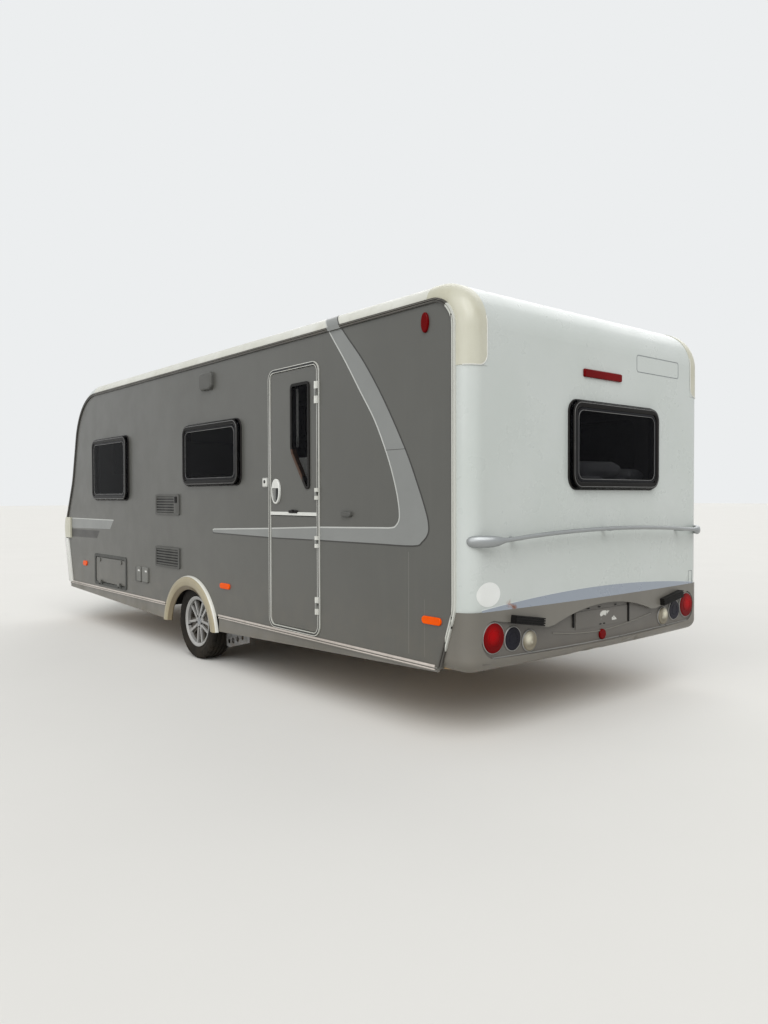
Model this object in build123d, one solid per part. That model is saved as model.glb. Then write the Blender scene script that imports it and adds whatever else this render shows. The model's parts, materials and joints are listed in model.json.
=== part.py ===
# Travel caravan with one axle, built in millimetres.
# Stations run forward (+X) from the flat of the rear panel, +Y is the entry door's side,
# +Z is up and the road lies at Z = 0. export_all moves the finished pieces along X so
# that the origin lies midway along the overall length.

import os
from math import atan2, cos, degrees, radians, sin, sqrt

from build123d import *

# Body shell
half_width = 1250
wall = 32                  # sandwich panel of the walls, roof and mouldings
edge_radius = 107          # quarter round from each side wall to roof, rear and front
wall_bottom = 430
wall_top = 2540
rear_edge = 107            # station of the side wall's upright rear edge
floor_thickness = 40
seat_gap = 0.3             # what lies on or against something stands this far off it

# Joints between the mouldings
roof_rear_seam = 300
roof_front_seam = 5640
front_seam_height = 1215
bumper_top = 770

# Rear bumper
bumper_bottom = 426
bumper_bow = 40            # how far its middle stands behind the rear panel
bumper_wall = 30
bumper_under_radius = 72
ledge_rise = 66            # the slanted ledge over it, at its middle
recess_floor = 0           # station of the lamp and number plate recess
recess_backing = 15

# Wheels and axle
axle_station = 3337
tyre_radius = 326
tyre_width = 205
wheel_track_half = half_width - 135
rim_flange_radius = 220
rim_half_width = 88
bead_radius = 201
arch_station = 3353
arch_height = 225          # height of the arch's centre
arch_outer = 505
arch_opening = 430
arch_lip = 384
arch_foot = 296

# Entry door
door_rear = 1401
door_front = 2049
door_foot = 453
door_head = 2354
door_frame_width = 24
door_gap = 6
door_split = 1284
door_hinge_station = 1428
door_hinge_out = 18        # hinge line outside the wall face
knuckle_radius = 8
knuckle_gap = 0.4
leaf_thickness = 30

# Chassis and drawbar
member_half_spacing = 800
member_top = wall_bottom
coupling_station = 7840
coupling_height = 430
jockey_station = 7420
jockey_side = 190

# Corner steadies
steady_pivot_height = 372
steady_length = 470

# Reach of the blocks that cut or keep a region
past_side = half_width + 150
past_rear = -200
past_front = coupling_station
past_top = wall_top + 260


# Placing helpers
def across(face, y_from, y_to):
    # side view face (station, height) made solid between two Y values
    return extrude(Plane.XZ.offset(-y_to) * face, amount=y_to - y_from)


def along(face, x_from, x_to):
    # rear view face (Y, height) made solid between two stations
    return extrude(Plane.YZ.offset(x_from) * face, amount=x_to - x_from)


def upward(face, z_from, z_to):
    # plan view face (station, Y) made solid between two heights
    return extrude(Plane.XY.offset(z_from) * face, amount=z_to - z_from)


def block(x_from, x_to, y_from, y_to, z_from, z_to):
    middle = ((x_from + x_to) / 2, (y_from + y_to) / 2, (z_from + z_to) / 2)
    return Pos(*middle) * Box(x_to - x_from, y_to - y_from, z_to - z_from)


def other_side(piece):
    return mirror(piece, about=Plane.XZ)


def both_sides(piece):
    return [piece, other_side(piece)]


def polygon(points):
    return make_face(Polyline(*points, close=True))


def rounded_polygon(corners):
    # corners: first axis, second axis, corner radius
    outline = polygon([(first, second) for first, second, radius in corners])
    for first, second, radius in corners:
        if radius:
            corner = outline.vertices().sort_by_distance((first, second, 0))[0]
            outline = fillet(corner, radius)
    return outline


def rounded_rectangle(low, high, bottom, top, radius):
    middle = Pos((low + high) / 2, (bottom + top) / 2)
    return middle * RectangleRounded(high - low, top - bottom, radius)


def tube_between(start, end, radius, bore=0):
    start, end = Vector(*start), Vector(*end)
    direction = end - start
    plane = Plane(origin=start, z_dir=direction)
    ring = Circle(radius) - Circle(bore) if bore else Circle(radius)
    return extrude(plane * ring, amount=direction.length)


# Side outline of the body
wall_corners = [
    # station, height, radius
    (225, wall_bottom, 0),
    (rear_edge, 775, 300),
    (rear_edge, wall_top, 170),
    (6080, wall_top, 600),
    (6330, 1600, 900),
    (6588, 1090, 200),
    (6470, wall_bottom, 0),
]
wall_outline = rounded_polygon(wall_corners)


def grown_outline(amount):
    return offset(wall_outline, amount, kind=Kind.INTERSECTION)


def envelope(inset):
    # whole body without its floor, each skin moved inwards by inset
    blank = across(grown_outline(edge_radius - inset), -(half_width - inset), half_width - inset)
    lowest = blank.bounding_box().min.Z
    rims = [
        edge
        for side in (blank.faces().sort_by(Axis.Y)[0], blank.faces().sort_by(Axis.Y)[-1])
        for edge in side.edges()
        if edge.center().Z > lowest + 1
    ]
    return fillet(rims, edge_radius - inset)


body_outside = envelope(0)
body_inside = envelope(wall)
below_floor = block(past_rear, past_front, -past_side, past_side, 0, wall_bottom)
mouldings = (
    body_outside
    - body_inside
    - across(wall_outline, half_width - wall, half_width)
    - across(wall_outline, -half_width, -(half_width - wall))
    - below_floor
)


def front_skin_station(height):
    # outer skin's station at a height between the arcs of the leaning front
    (upper_x, upper_z), (lower_x, lower_z) = wall_corners[3][:2], wall_corners[4][:2]
    lean = (lower_x - upper_x) / (upper_z - lower_z)
    return upper_x + (upper_z - height) * lean + edge_radius * sqrt(1 + lean * lean)


front_lean = degrees(atan2(
    wall_corners[4][0] - wall_corners[3][0], wall_corners[3][1] - wall_corners[4][1]
))


# Windows
window_rim = 46
window_step = 14           # how far the frame covers the wall round the opening
window_proud = 10
window_corner = 86
pane_inset = 7             # between the frame's edge and the pane that covers it
pane_bulge = 22            # thickness of the double pane, all of it in front of the frame
side_windows = [
    # side, rear station, front station, sill, head
    (1, 2452, 3446, 1509, 2048),
    (1, 4688, 5651, 1383, 2048),
    (-1, 520, 1120, 1509, 2048),
    (-1, 2452, 3446, 1509, 2048),
    (-1, 4688, 5651, 1383, 2048),
]
rear_window = (-640, 364, 1457, 2028)
front_window_half_width = 760
front_window_height = 380
front_window_middle = 1915
front_window_plane = Plane(
    origin=(front_skin_station(front_window_middle), 0, front_window_middle),
    x_dir=(0, 1, 0),
    z_dir=(cos(radians(front_lean)), 0, sin(radians(front_lean))),
)


def window_parts(low, high, sill, head):
    # opening, frame and pane in a plane at the outer skin, +Z pointing out of the body
    outer = rounded_rectangle(low, high, sill, head, window_corner)
    opening = rounded_rectangle(
        low + window_step, high - window_step, sill + window_step, head - window_step,
        window_corner - window_step,
    )
    sight = rounded_rectangle(
        low + window_rim, high - window_rim, sill + window_rim, head - window_rim,
        window_corner - window_rim,
    )
    hole = Pos(0, 0, -2 * wall) * extrude(opening, amount=4 * wall)
    flange = extrude(outer, amount=window_proud)
    flange = fillet(flange.faces().sort_by(Axis.Z)[-1].edges(), pane_inset * 0.7)
    liner = Pos(0, 0, -wall) * extrude(opening, amount=wall)
    through = Pos(0, 0, -2 * wall) * extrude(sight, amount=4 * wall)
    frame = flange + liner - through
    cover = rounded_rectangle(
        low + pane_inset, high - pane_inset, sill + pane_inset, head - pane_inset,
        window_corner - pane_inset,
    )
    pane = Pos(0, 0, window_proud) * extrude(cover, amount=pane_bulge)
    pane = fillet(pane.faces().sort_by(Axis.Z)[-1].edges(), pane_bulge * 0.7)
    return hole, frame, pane


def placed_windows():
    holes, frames, panes = [], [], []
    outward = Plane(origin=(0, half_width, 0), x_dir=(-1, 0, 0), z_dir=(0, 1, 0))
    for side, rear_end, front_end, sill, head in side_windows:
        parts = [outward * piece for piece in window_parts(-front_end, -rear_end, sill, head)]
        if side < 0:
            parts = [other_side(piece) for piece in parts]
        for group, piece in zip((holes, frames, panes), parts):
            group.append(piece)
    rearward = Plane(origin=(0, 0, 0), x_dir=(0, -1, 0), z_dir=(-1, 0, 0))
    right, left, sill, head = rear_window
    for group, piece in zip((holes, frames, panes), window_parts(-left, -right, sill, head)):
        group.append(rearward * piece)
    half_height = front_window_height / 2
    parts = window_parts(
        -front_window_half_width, front_window_half_width, -half_height, half_height
    )
    for group, piece in zip((holes, frames, panes), parts):
        group.append(front_window_plane * piece)
    return holes, frames, panes


window_holes, window_frames, window_panes = placed_windows()

# Vents, hatches and covers let into the left wall
vent_corner = 18
vent_depth = 12
vent_field = 3             # how far the louvres' ground stands off the wall
vent_slats = 6
vents = [
    # rear station, front station, foot, head
    (3555, 4054, 1256, 1445),
    (3555, 4064, 772, 962),
]
service_door_box = (4777, 5664, 470, 805)
service_frame_width = 30
service_gap = 6
wall_fitting_table = [
    # middle station, middle height, width, height, corner radius, depth
    (4472, 664, 128, 150, 14, 14),
    (4306, 664, 128, 150, 14, 14),
    (2101, 1528, 70, 70, 10, 9),
    (1092, 1305, 104, 36, 17, 22),
]

# Entry door outlines
door_corner = 75


def door_outline(inset):
    return rounded_rectangle(
        door_rear + inset, door_front - inset, door_foot + inset, door_head - inset,
        door_corner - inset,
    )


door_opening = across(door_outline(door_frame_width / 2), half_width - 2 * wall, half_width + wall)
arch_cut = Pos(arch_station, arch_height) * Circle(arch_opening)


def service_outline(inset):
    rear_end, front_end, foot, head = service_door_box
    return rounded_rectangle(rear_end + inset, front_end - inset, foot + inset, head - inset, 30)


# Panels
def side_wall(side):
    panel = across(wall_outline, half_width - wall, half_width)
    panel -= across(arch_cut, half_width - 2 * wall, half_width + wall)
    if side > 0:
        panel -= door_opening
        panel -= across(
            service_outline(service_frame_width / 2), half_width - 2 * wall, half_width + wall
        )
    else:
        panel = other_side(panel)
    for hole, (window_side, *_) in zip(window_holes, side_windows):
        if window_side == side:
            panel -= hole
    return panel


def rear_panel():
    panel = mouldings & block(
        past_rear, roof_rear_seam, -past_side, past_side, wall_bottom, past_top
    )
    for side in (-1, 1):
        edge = side * (half_width - edge_radius)
        low, high = sorted((edge, side * past_side))
        panel -= block(past_rear, roof_rear_seam, low, high, 0, bumper_top)
    panel -= window_holes[-2]
    bow_radius = (half_width ** 2 + bumper_bow ** 2) / (2 * bumper_bow)
    ledge = Pos(bow_radius - bumper_bow, 0, bumper_top + ledge_rise / 2) * Cone(
        bow_radius, bow_radius - bumper_bow, ledge_rise
    )
    reach = half_width - edge_radius
    ledge &= block(
        past_rear, wall / 2, -reach, reach, bumper_top, bumper_top + ledge_rise - 2
    )
    return panel + ledge


def roof():
    return mouldings & block(
        roof_rear_seam, roof_front_seam, -past_side, past_side, wall_top - edge_radius, past_top
    )


def front_panel():
    panel = mouldings & block(
        roof_front_seam, past_front, -past_side, past_side, front_seam_height, past_top
    )
    return panel - window_holes[-1]


# Gas locker in the front moulding
lid_half_width = half_width - 380
lid_foot = 560
lid_head = 1010
lid_gap = 6
locker_back = 6080
locker_board = 18
locker_ceiling = 1175


def lid_window(inset):
    return rounded_rectangle(
        -lid_half_width + inset, lid_half_width - inset, lid_foot + inset, lid_head - inset, 60
    )


def front_lower_panel():
    panel = mouldings & block(
        roof_front_seam, past_front, -past_side, past_side, wall_bottom, front_seam_height
    )
    panel -= along(lid_window(0), locker_back, past_front)
    for knuckle in lid_knuckles(False):
        panel += knuckle
    return panel


def lower_front_skin(height):
    # outer skin's station on the straight part below the nose
    (upper_x, upper_z), (lower_x, lower_z) = wall_corners[5][:2], wall_corners[6][:2]
    lean = (upper_x - lower_x) / (upper_z - lower_z)
    return upper_x - (upper_z - height) * lean + edge_radius * sqrt(1 + lean * lean)


lid_hinge = (lower_front_skin(lid_head) + 13, lid_head - lid_gap / 2)
lid_hinge_spans = (-640, 500)   # Y where each hinge starts
lid_hinge_length = 140
strap_foot = 4             # a hinge strap's near and far edge from the hinge line
strap_head = 24
strap_reach = 34


def lid_knuckles(on_lid):
    # barrels along Y, the lid's in the middle of each hinge
    knuckles = []
    station, height = lid_hinge
    third = lid_hinge_length / 3
    for start in lid_hinge_spans:
        spans = [(start, start + third), (start + 2 * third, start + 3 * third)]
        if on_lid:
            spans = [(start + third + knuckle_gap, start + 2 * third - knuckle_gap)]
        for low, high in spans:
            barrel = tube_between((station, low, height), (station, high, height), knuckle_radius)
            if on_lid:
                foot, head = height - strap_head, height - strap_foot
            else:
                foot, head = height + strap_foot, height + strap_head
            strap = block(station - strap_reach, station, low, high, foot, head)
            knuckles.append(barrel + (strap - body_outside))
    return knuckles


def gas_locker_lid():
    lid = mouldings & along(lid_window(lid_gap), locker_back, past_front)
    for knuckle in lid_knuckles(True):
        lid += knuckle
    return lid


floor_half_width = half_width - wall
wheel_box_inner = half_width - 360
wheel_box_centre = 262
wheel_box_radius = 440
wheel_box_skin = 14


def wheel_box_section(growth):
    return Pos(arch_station, wheel_box_centre) * Circle(wheel_box_radius + growth)


def floor():
    deck = body_inside & block(
        0, past_front, -past_side, past_side, wall_bottom, wall_bottom + floor_thickness
    )
    slot = across(wheel_box_section(wheel_box_skin), wheel_box_inner, half_width)
    return deck - slot - other_side(slot)


def wheel_boxes():
    outer = across(wheel_box_section(wheel_box_skin), wheel_box_inner, floor_half_width)
    inner = across(
        wheel_box_section(0), wheel_box_inner + wheel_box_skin, floor_half_width + 1
    )
    reach = wheel_box_radius + 2 * wheel_box_skin
    under = block(arch_station - reach, arch_station + reach, 0, past_side, -reach, wall_bottom)
    return both_sides(outer - inner - under)


def locker_box():
    # bulkhead and top board of the gas locker
    back = block(
        locker_back, locker_back + locker_board, -past_side, past_side,
        wall_bottom + floor_thickness, locker_ceiling,
    )
    top = block(
        locker_back, past_front, -past_side, past_side,
        locker_ceiling - locker_board, locker_ceiling,
    )
    return (back + top) & body_inside


# Outside trim
rail_inside = 12
rail_outside = 14
rail_proud = 12


def awning_rails():
    band = grown_outline(rail_outside) - grown_outline(-rail_inside)
    rail = across(band, half_width - 20, half_width + rail_proud)
    groove = grown_outline(3) - grown_outline(-3)
    rail -= across(groove, half_width + rail_proud - 6, half_width + rail_proud + 1)
    rail -= body_outside
    rail -= block(past_rear, past_front, 0, past_side, 0, wall_bottom + rail_outside)
    return both_sides(rail)


cap_thickness = 3
cap_reach = 150            # from the side face in towards the middle
cap_foot = 2150
cap_front = 330


def corner_caps():
    cap = envelope(-cap_thickness) - body_outside
    cap &= block(
        past_rear, cap_front, half_width - cap_reach, past_side, cap_foot, past_top
    )
    cap -= across(grown_outline(rail_outside), half_width - 20, past_side)
    return both_sides(cap)


skirt_thickness = 14
skirt_rear_ends = (240, 2846)
skirt_front_ends = (3862, 6450)


def side_skirts():
    skirts = []
    lines = [
        # rear station, its lower edge, front station, its lower edge
        (skirt_rear_ends[0], 410, skirt_rear_ends[1], 306),
        (skirt_front_ends[0], 296, skirt_front_ends[1], 375),
    ]
    for rear_end, rear_foot, front_end, front_foot in lines:
        outline = polygon([
            (rear_end, wall_bottom), (front_end, wall_bottom),
            (front_end, front_foot), (rear_end, rear_foot),
        ])
        skirt = across(outline, half_width - skirt_thickness, half_width)
        for height in (418, 436):
            skirt += block(
                rear_end, front_end, half_width, half_width + 7, height - 5, height + 5
            )
        skirts += both_sides(skirt)
    return skirts


def arch_trims():
    # moulded lip round the arch, drawn as radius against Y and turned about the arch centre
    section = polygon([
        # radius, Y
        (arch_outer, half_width),
        (arch_outer - 2, half_width + 16),
        (arch_outer - 10, half_width + 31),
        (arch_outer - 24, half_width + 39),
        (arch_outer - 48, half_width + 41),
        (arch_lip + 44, half_width + 36),
        (arch_lip + 34, half_width + 30),
        (arch_lip, half_width + 8),
        (arch_lip, half_width),
    ])
    turned = Plane(origin=(arch_station, 0, arch_height), x_dir=(0, 0, 1), z_dir=(-1, 0, 0))
    ring = revolve(turned * section, axis=Axis((arch_station, 0, arch_height), (0, 1, 0)))
    reach = 2 * arch_outer
    ring -= block(
        arch_station - reach, arch_station + reach, 0, past_side, -reach, arch_foot
    )
    return both_sides(ring)


corner_block_box = (6412, 6740, half_width - 130, past_side, 948, 1186)
corner_block_thickness = 18


def front_corner_blocks(rails):
    # stands over the rail, on the side wall and round the corner
    pad = envelope(-corner_block_thickness) - body_outside
    pad &= block(*corner_block_box)
    for rail in rails:
        pad -= rail
    pad = pad.solids().sort_by(SortBy.VOLUME)[-1]
    return both_sides(pad)


# Lamps on the rear bumper
rear_lamps = [
    # name, distance in from the side, height, radius, length out of the recess floor
    ("rear_red_lamps", 200, 616, 86, 12),
    ("rear_dark_lamps", 365, 594, 68, 10),
    ("rear_clear_lamps", 516, 565, 61, 14),
]
recess_top = [
    # distance in from the side, height of its upper edge from the red lamp to the arch
    (190, 716),
    (370, 688),
    (656, 634),
    (716, 640),
]
recess_peak = 730
recess_end_reach = 88
recess_foot = (500, 480)    # at its ends, and at its middle
plate_seat = (285, 576, 686)   # half width, foot and head of the number plate's pad
plate_seat_out = 4
grip_centre = (462, 694)   # distance in from the side, height
grip_size = (264, 48)
grip_tilt = 9
grip_out = 62
grip_rib_pitch = 14
grip_rib_slot = 4


def bumper_plan(inset):
    bow = ThreePointArc(
        (0, half_width), (-bumper_bow, 0), (0, -half_width)
    )
    sides = Polyline((0, -half_width), (420, -half_width), (420, half_width), (0, half_width))
    plan = make_face([bow, sides])
    corners = [vertex for vertex in plan.vertices() if abs(vertex.X) < 1]
    plan = fillet(corners, edge_radius)
    return offset(plan, -inset, kind=Kind.INTERSECTION) if inset else plan


def recess_outline():
    # from lamp to lamp, dipped a little along its foot and arched over the number plate
    upper = [(half_width - inwards, height) for inwards, height in recess_top]
    foot_end, foot_middle = recess_foot
    lower = (upper[0][0], foot_end)
    outermost = (upper[0][0] + recess_end_reach, (foot_end + upper[0][1]) / 2)
    half = [Polyline(*upper), ThreePointArc(upper[0], outermost, lower)]
    peak = ThreePointArc(upper[-1], (0, recess_peak), (-upper[-1][0], upper[-1][1]))
    base = ThreePointArc(lower, (0, foot_middle), (-lower[0], foot_end))
    return make_face(half + [mirror(edge, about=Plane.YZ) for edge in half] + [peak, base])


def rear_bumper(rails):
    skin = upward(bumper_plan(0), bumper_bottom, bumper_top)
    under = [edge for edge in skin.edges() if edge.center().Z < bumper_bottom + 1]
    under = [edge for edge in under if edge.center().X < 419]
    skin = fillet(under, bumper_under_radius)
    cavity = upward(bumper_plan(bumper_wall), bumper_bottom + bumper_wall, bumper_top - bumper_wall)
    cavity &= block(
        recess_floor + recess_backing, past_front, -past_side, past_side, 0, past_top
    )
    skin -= cavity
    inboard = half_width - edge_radius
    skin -= across(grown_outline(edge_radius), -inboard, inboard)
    skin -= across(wall_outline, -past_side, past_side)
    skin -= body_inside
    for rail in rails:
        skin -= rail
    skin -= along(recess_outline(), past_rear, recess_floor)
    reach, foot, head = plate_seat
    return skin + block(recess_floor - plate_seat_out, recess_floor, -reach, reach, foot, head)


def rear_lamp_pairs():
    groups = {}
    for name, inwards, height, radius, length in rear_lamps:
        lens = Pos(half_width - inwards, height) * Circle(radius)
        lens = along(lens, recess_floor - length, recess_floor)
        lens = fillet(lens.faces().sort_by(Axis.X)[0].edges(), length * 0.6)
        groups[name] = both_sides(lens)
    return groups


def rear_grips(bumper):
    inwards, height = grip_centre
    width, thickness = grip_size
    place = Pos(half_width - inwards, height) * Rot(0, 0, grip_tilt)
    grip = along(place * Rectangle(width, thickness), recess_floor - grip_out, recess_floor)
    for rib in (-1, 0, 1):
        slot = place * Pos(0, rib * grip_rib_pitch) * Rectangle(width, grip_rib_slot)
        grip -= along(slot, recess_floor - grip_out, recess_floor - grip_out + 10)
    grip -= bumper
    grip = grip.solids().sort_by(SortBy.VOLUME)[-1]
    return both_sides(grip)


# Small lamps and markers on the skin
marker_depth = 12
oval_marker_depth = 15
brake_lamp_depth = 15
amber_markers = [
    # station, height, length, height of the lens
    (2732, 692, 160, 46),
    (290, 702, 160, 46),
    (5960, 677, 116, 56),
]
oval_markers = (340, 2426, 60, 118)
brake_lamp_box = (-207, 207, 2174, 2226)
reflector = (520, 34)       # height of its middle, radius
awning_lamp_box = (2905, 3120, 2315, 2462)


def amber_side_markers():
    lenses = []
    for station, height, length, tall in amber_markers:
        shape = Pos(station, height) * RectangleRounded(length, tall, tall / 2 - 1)
        lens = across(shape, half_width, half_width + marker_depth)
        lenses += both_sides(fillet(lens.faces().sort_by(Axis.Y)[-1].edges(), 6))
    return lenses


def red_markers():
    station, height, length, tall = oval_markers
    shape = Pos(station, height) * Ellipse(length / 2, tall / 2)
    lens = across(shape, half_width, half_width + oval_marker_depth)
    lens = fillet(lens.faces().sort_by(Axis.Y)[-1].edges(), oval_marker_depth * 0.5)
    height, radius = reflector
    disc = along(Pos(0, height) * Circle(radius), recess_floor - marker_depth, recess_floor)
    disc = fillet(disc.faces().sort_by(Axis.X)[0].edges(), marker_depth * 0.4)
    return both_sides(lens) + [disc]


def high_brake_lamp():
    low, high, foot, head = brake_lamp_box
    lens = along(rounded_rectangle(low, high, foot, head, 12), -brake_lamp_depth, 0)
    return fillet(lens.faces().sort_by(Axis.X)[0].edges(), brake_lamp_depth * 0.5)


def awning_lamp():
    rear_end, front_end, foot, head = awning_lamp_box
    outline = rounded_rectangle(rear_end, front_end, foot, head, 40)
    lens = across(outline, half_width, half_width + 34)
    return fillet(lens.faces().sort_by(Axis.Y)[-1].edges(), 18)


# Rear rail
rail_station = -76
rail_middle_height = 1212
rail_end_height = 1168
rail_straight_half = half_width - 130
rail_section = (22, 18)
rail_brackets = (350 - half_width, 0, half_width - 350)
rail_bracket_half = (16, 7)    # half width and half height
rail_end_plan = [
    # station and distance in from the side, along its outside and back inside the corner
    (-94, 160), (-52, 82), (32, 14), (60, 50), (0, 230), (-60, 230),
]
rail_end_foot = 1134
rail_end_head = 1202
rail_end_rounding = 30


def rail_height(y):
    return rail_end_height + (rail_middle_height - rail_end_height) * (
        1 - (y / rail_straight_half) ** 2
    )


def rear_rail():
    path = ThreePointArc(
        (rail_station, -rail_straight_half, rail_end_height),
        (rail_station, 0, rail_middle_height),
        (rail_station, rail_straight_half, rail_end_height),
    )
    start = path @ 0
    section = Plane(origin=start, x_dir=(1, 0, 0), z_dir=path % 0) * Ellipse(*rail_section)
    rail = sweep(section, path=path)
    half_wide, half_tall = rail_bracket_half
    for y in rail_brackets:
        height = rail_height(y)
        rail += block(
            rail_station, 0, y - half_wide, y + half_wide, height - half_tall, height + half_tall
        )
    plan = [(station, half_width - inwards) for station, inwards in rail_end_plan]
    end = upward(make_face([
        ThreePointArc(plan[0], plan[1], plan[2]), Polyline(*plan[2:], plan[0]),
    ]), rail_end_foot, rail_end_head)
    rims = [edge for edge in end.edges() if edge.geom_type == GeomType.CIRCLE]
    end = fillet(rims, rail_end_rounding) - body_outside
    return rail + end + other_side(end)


# Entry door
frame_proud = 9
leaf_proud = 2
pane_proud = 6


def door_frame():
    ring = door_outline(0) - door_outline(door_frame_width)
    frame = across(ring, half_width, half_width + frame_proud)
    lining_ring = door_outline(door_frame_width / 2) - door_outline(door_frame_width)
    frame += across(lining_ring, half_width - wall, half_width)
    for knuckle in door_hinges(upper_hinges + lower_hinges, False):
        frame += knuckle
    return frame


def door_leaf(foot, head):
    leaf = across(
        door_outline(door_frame_width + door_gap), half_width - leaf_thickness,
        half_width + leaf_proud,
    )
    return leaf & block(door_rear, door_front, half_width - 2 * wall, past_side, foot, head)


door_window = [
    # station, height, radius
    (1514, 1408, 30),
    (1514, 2225, 34),
    (1751, 2225, 34),
    (1751, 1744, 150),
]
door_window_border = 20


def door_window_outline(inset):
    outline = rounded_polygon(door_window)
    return offset(outline, -inset, kind=Kind.INTERSECTION) if inset else outline


def door_hinges(heights, on_leaf):
    # barrels share the hinge line, the leaf's between the frame's
    knuckles = []
    for foot, head in heights:
        third = (head - foot) / 3
        spans = [(foot, foot + third), (head - third, head)]
        if on_leaf:
            spans = [(foot + third + knuckle_gap, head - third - knuckle_gap)]
        for low, high in spans:
            line = (door_hinge_station, half_width + door_hinge_out)
            barrel = tube_between((*line, low), (*line, high), knuckle_radius)
            if on_leaf:
                plate = block(
                    door_hinge_station, door_hinge_station + 46,
                    half_width + leaf_proud, half_width + door_hinge_out - 5, low, high,
                )
            else:
                plate = block(
                    door_rear + 2, door_hinge_station - 4,
                    half_width + frame_proud, half_width + door_hinge_out, low, high,
                )
            knuckles.append(barrel + plate)
    return knuckles


upper_hinges = [(2060, 2210), (1400, 1480)]
lower_hinges = [(1070, 1150), (610, 730)]


handle_place = (1943, 1460)
handle_size = (56, 92)     # half width, half height
handle_out = 16
strip_height = 24
strip_out = 8


def door_handle():
    # oval bezel round a recess with its paddle
    face = half_width + leaf_proud
    place = Pos(*handle_place)
    width, tall = handle_size
    bezel = across(place * Ellipse(width, tall), face, face + handle_out)
    bezel = fillet(bezel.faces().sort_by(Axis.Y)[-1].edges(), 5)
    recess = Ellipse(width - 12, tall - 12) & Pos(0, -tall / 2 + 12) * Rectangle(2 * width, tall + 24)
    bezel -= across(place * recess, face + 3, face + handle_out + 1)
    paddle = Pos(0, -12) * RectangleRounded(width, 2 * tall - 70, 12)
    return bezel + across(place * paddle, face, face + handle_out - 4)


def door_upper_leaf():
    foot = door_split + door_gap / 2
    leaf = door_leaf(foot, door_head)
    leaf -= across(
        door_window_outline(door_window_border / 2), half_width - 2 * wall, past_side
    )
    for knuckle in door_hinges(upper_hinges, True):
        leaf += knuckle
    inset = door_frame_width + door_gap
    leaf += block(
        door_rear + inset, door_front - inset, half_width, half_width + leaf_proud + strip_out,
        foot, foot + strip_height,
    )
    return leaf + door_handle()


def door_lower_leaf():
    leaf = door_leaf(door_foot, door_split - door_gap / 2)
    for knuckle in door_hinges(lower_hinges, True):
        leaf += knuckle
    return leaf


def door_window_frame():
    # border that lies on the leaf and lines its opening
    face = half_width + leaf_proud
    ring = door_window_outline(0) - door_window_outline(door_window_border)
    border = across(ring, face, face + frame_proud)
    liner = door_window_outline(door_window_border / 2) - door_window_outline(door_window_border)
    return border + across(liner, half_width - leaf_thickness, face)


def door_pane():
    sight = door_window_outline(door_window_border)
    pane = across(sight, half_width - leaf_thickness + 4, half_width + leaf_proud + pane_proud)
    return chamfer(pane.faces().sort_by(Axis.Y)[-1].edges(), 3)


# Service door and vents
service_frame_proud = 7
service_hinge = (half_width + 16, service_door_box[2] + service_frame_width + service_gap / 2)
service_hinge_spans = (4900, 5420)   # stations where each hinge starts
service_hinge_length = 120


def service_knuckles(on_leaf):
    knuckles = []
    y, height = service_hinge
    third = service_hinge_length / 3
    for start in service_hinge_spans:
        spans = [(start, start + third), (start + 2 * third, start + 3 * third)]
        if on_leaf:
            spans = [(start + third + knuckle_gap, start + 2 * third - knuckle_gap)]
        for low, high in spans:
            barrel = tube_between((low, y, height), (high, y, height), knuckle_radius)
            if on_leaf:
                strap = block(low, high, half_width, y, height + 4, height + 24)
            else:
                strap = block(
                    low, high, half_width + service_frame_proud, y, height - 22, height - 4
                )
            knuckles.append(barrel + strap)
    return knuckles


def service_door_frame():
    ring = service_outline(0) - service_outline(service_frame_width)
    frame = across(ring, half_width, half_width + service_frame_proud)
    inner = service_outline(service_frame_width / 2) - service_outline(service_frame_width)
    frame += across(inner, half_width - wall, half_width)
    for knuckle in service_knuckles(False):
        frame += knuckle
    return frame


def service_door():
    leaf = across(
        service_outline(service_frame_width + service_gap), half_width - leaf_thickness, half_width
    )
    rear_end, front_end, foot, head = service_door_box
    for station in (rear_end + 150, front_end - 150):
        latch = Pos(station, head - 62) * Circle(20)
        leaf += across(latch, half_width, half_width + 8)
    for knuckle in service_knuckles(True):
        leaf += knuckle
    return leaf


def louvre_vents():
    grilles = []
    for rear_end, front_end, foot, head in vents:
        outline = rounded_rectangle(rear_end, front_end, foot, head, vent_corner)
        grille = across(outline, half_width, half_width + vent_depth)
        field = rounded_rectangle(rear_end + 26, front_end - 26, foot + 20, head - 20, 8)
        grille -= across(field, half_width + vent_field, half_width + 2 * vent_depth)
        pitch = (head - foot - 40) / vent_slats
        for index in range(vent_slats):
            middle = foot + 20 + pitch * (index + 0.5)
            grille += block(
                rear_end + 20, front_end - 20, half_width + vent_field - 1,
                half_width + vent_depth - 2, middle - pitch * 0.25, middle + pitch * 0.25,
            )
        grilles.append(grille)
    return grilles


def wall_fittings():
    # mains and water inlet covers, the lock plate ahead of the door and the catch behind it
    fittings = []
    for station, height, width, tall, radius, depth in wall_fitting_table:
        shape = Pos(station, height) * RectangleRounded(width, tall, radius)
        cover = across(shape, half_width, half_width + depth)
        fittings.append(fillet(cover.faces().sort_by(Axis.Y)[-1].edges(), depth * 0.35))
    return fittings


# Roof fittings
roof_top = wall_top + edge_radius
hatch_foot = 22
roof_hatch_table = [
    # middle station, Y, length, width, height
    (1000, 0, 420, 420, 62),
    (2700, 0, 720, 520, 78),
    (4900, 0, 420, 420, 62),
]


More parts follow.
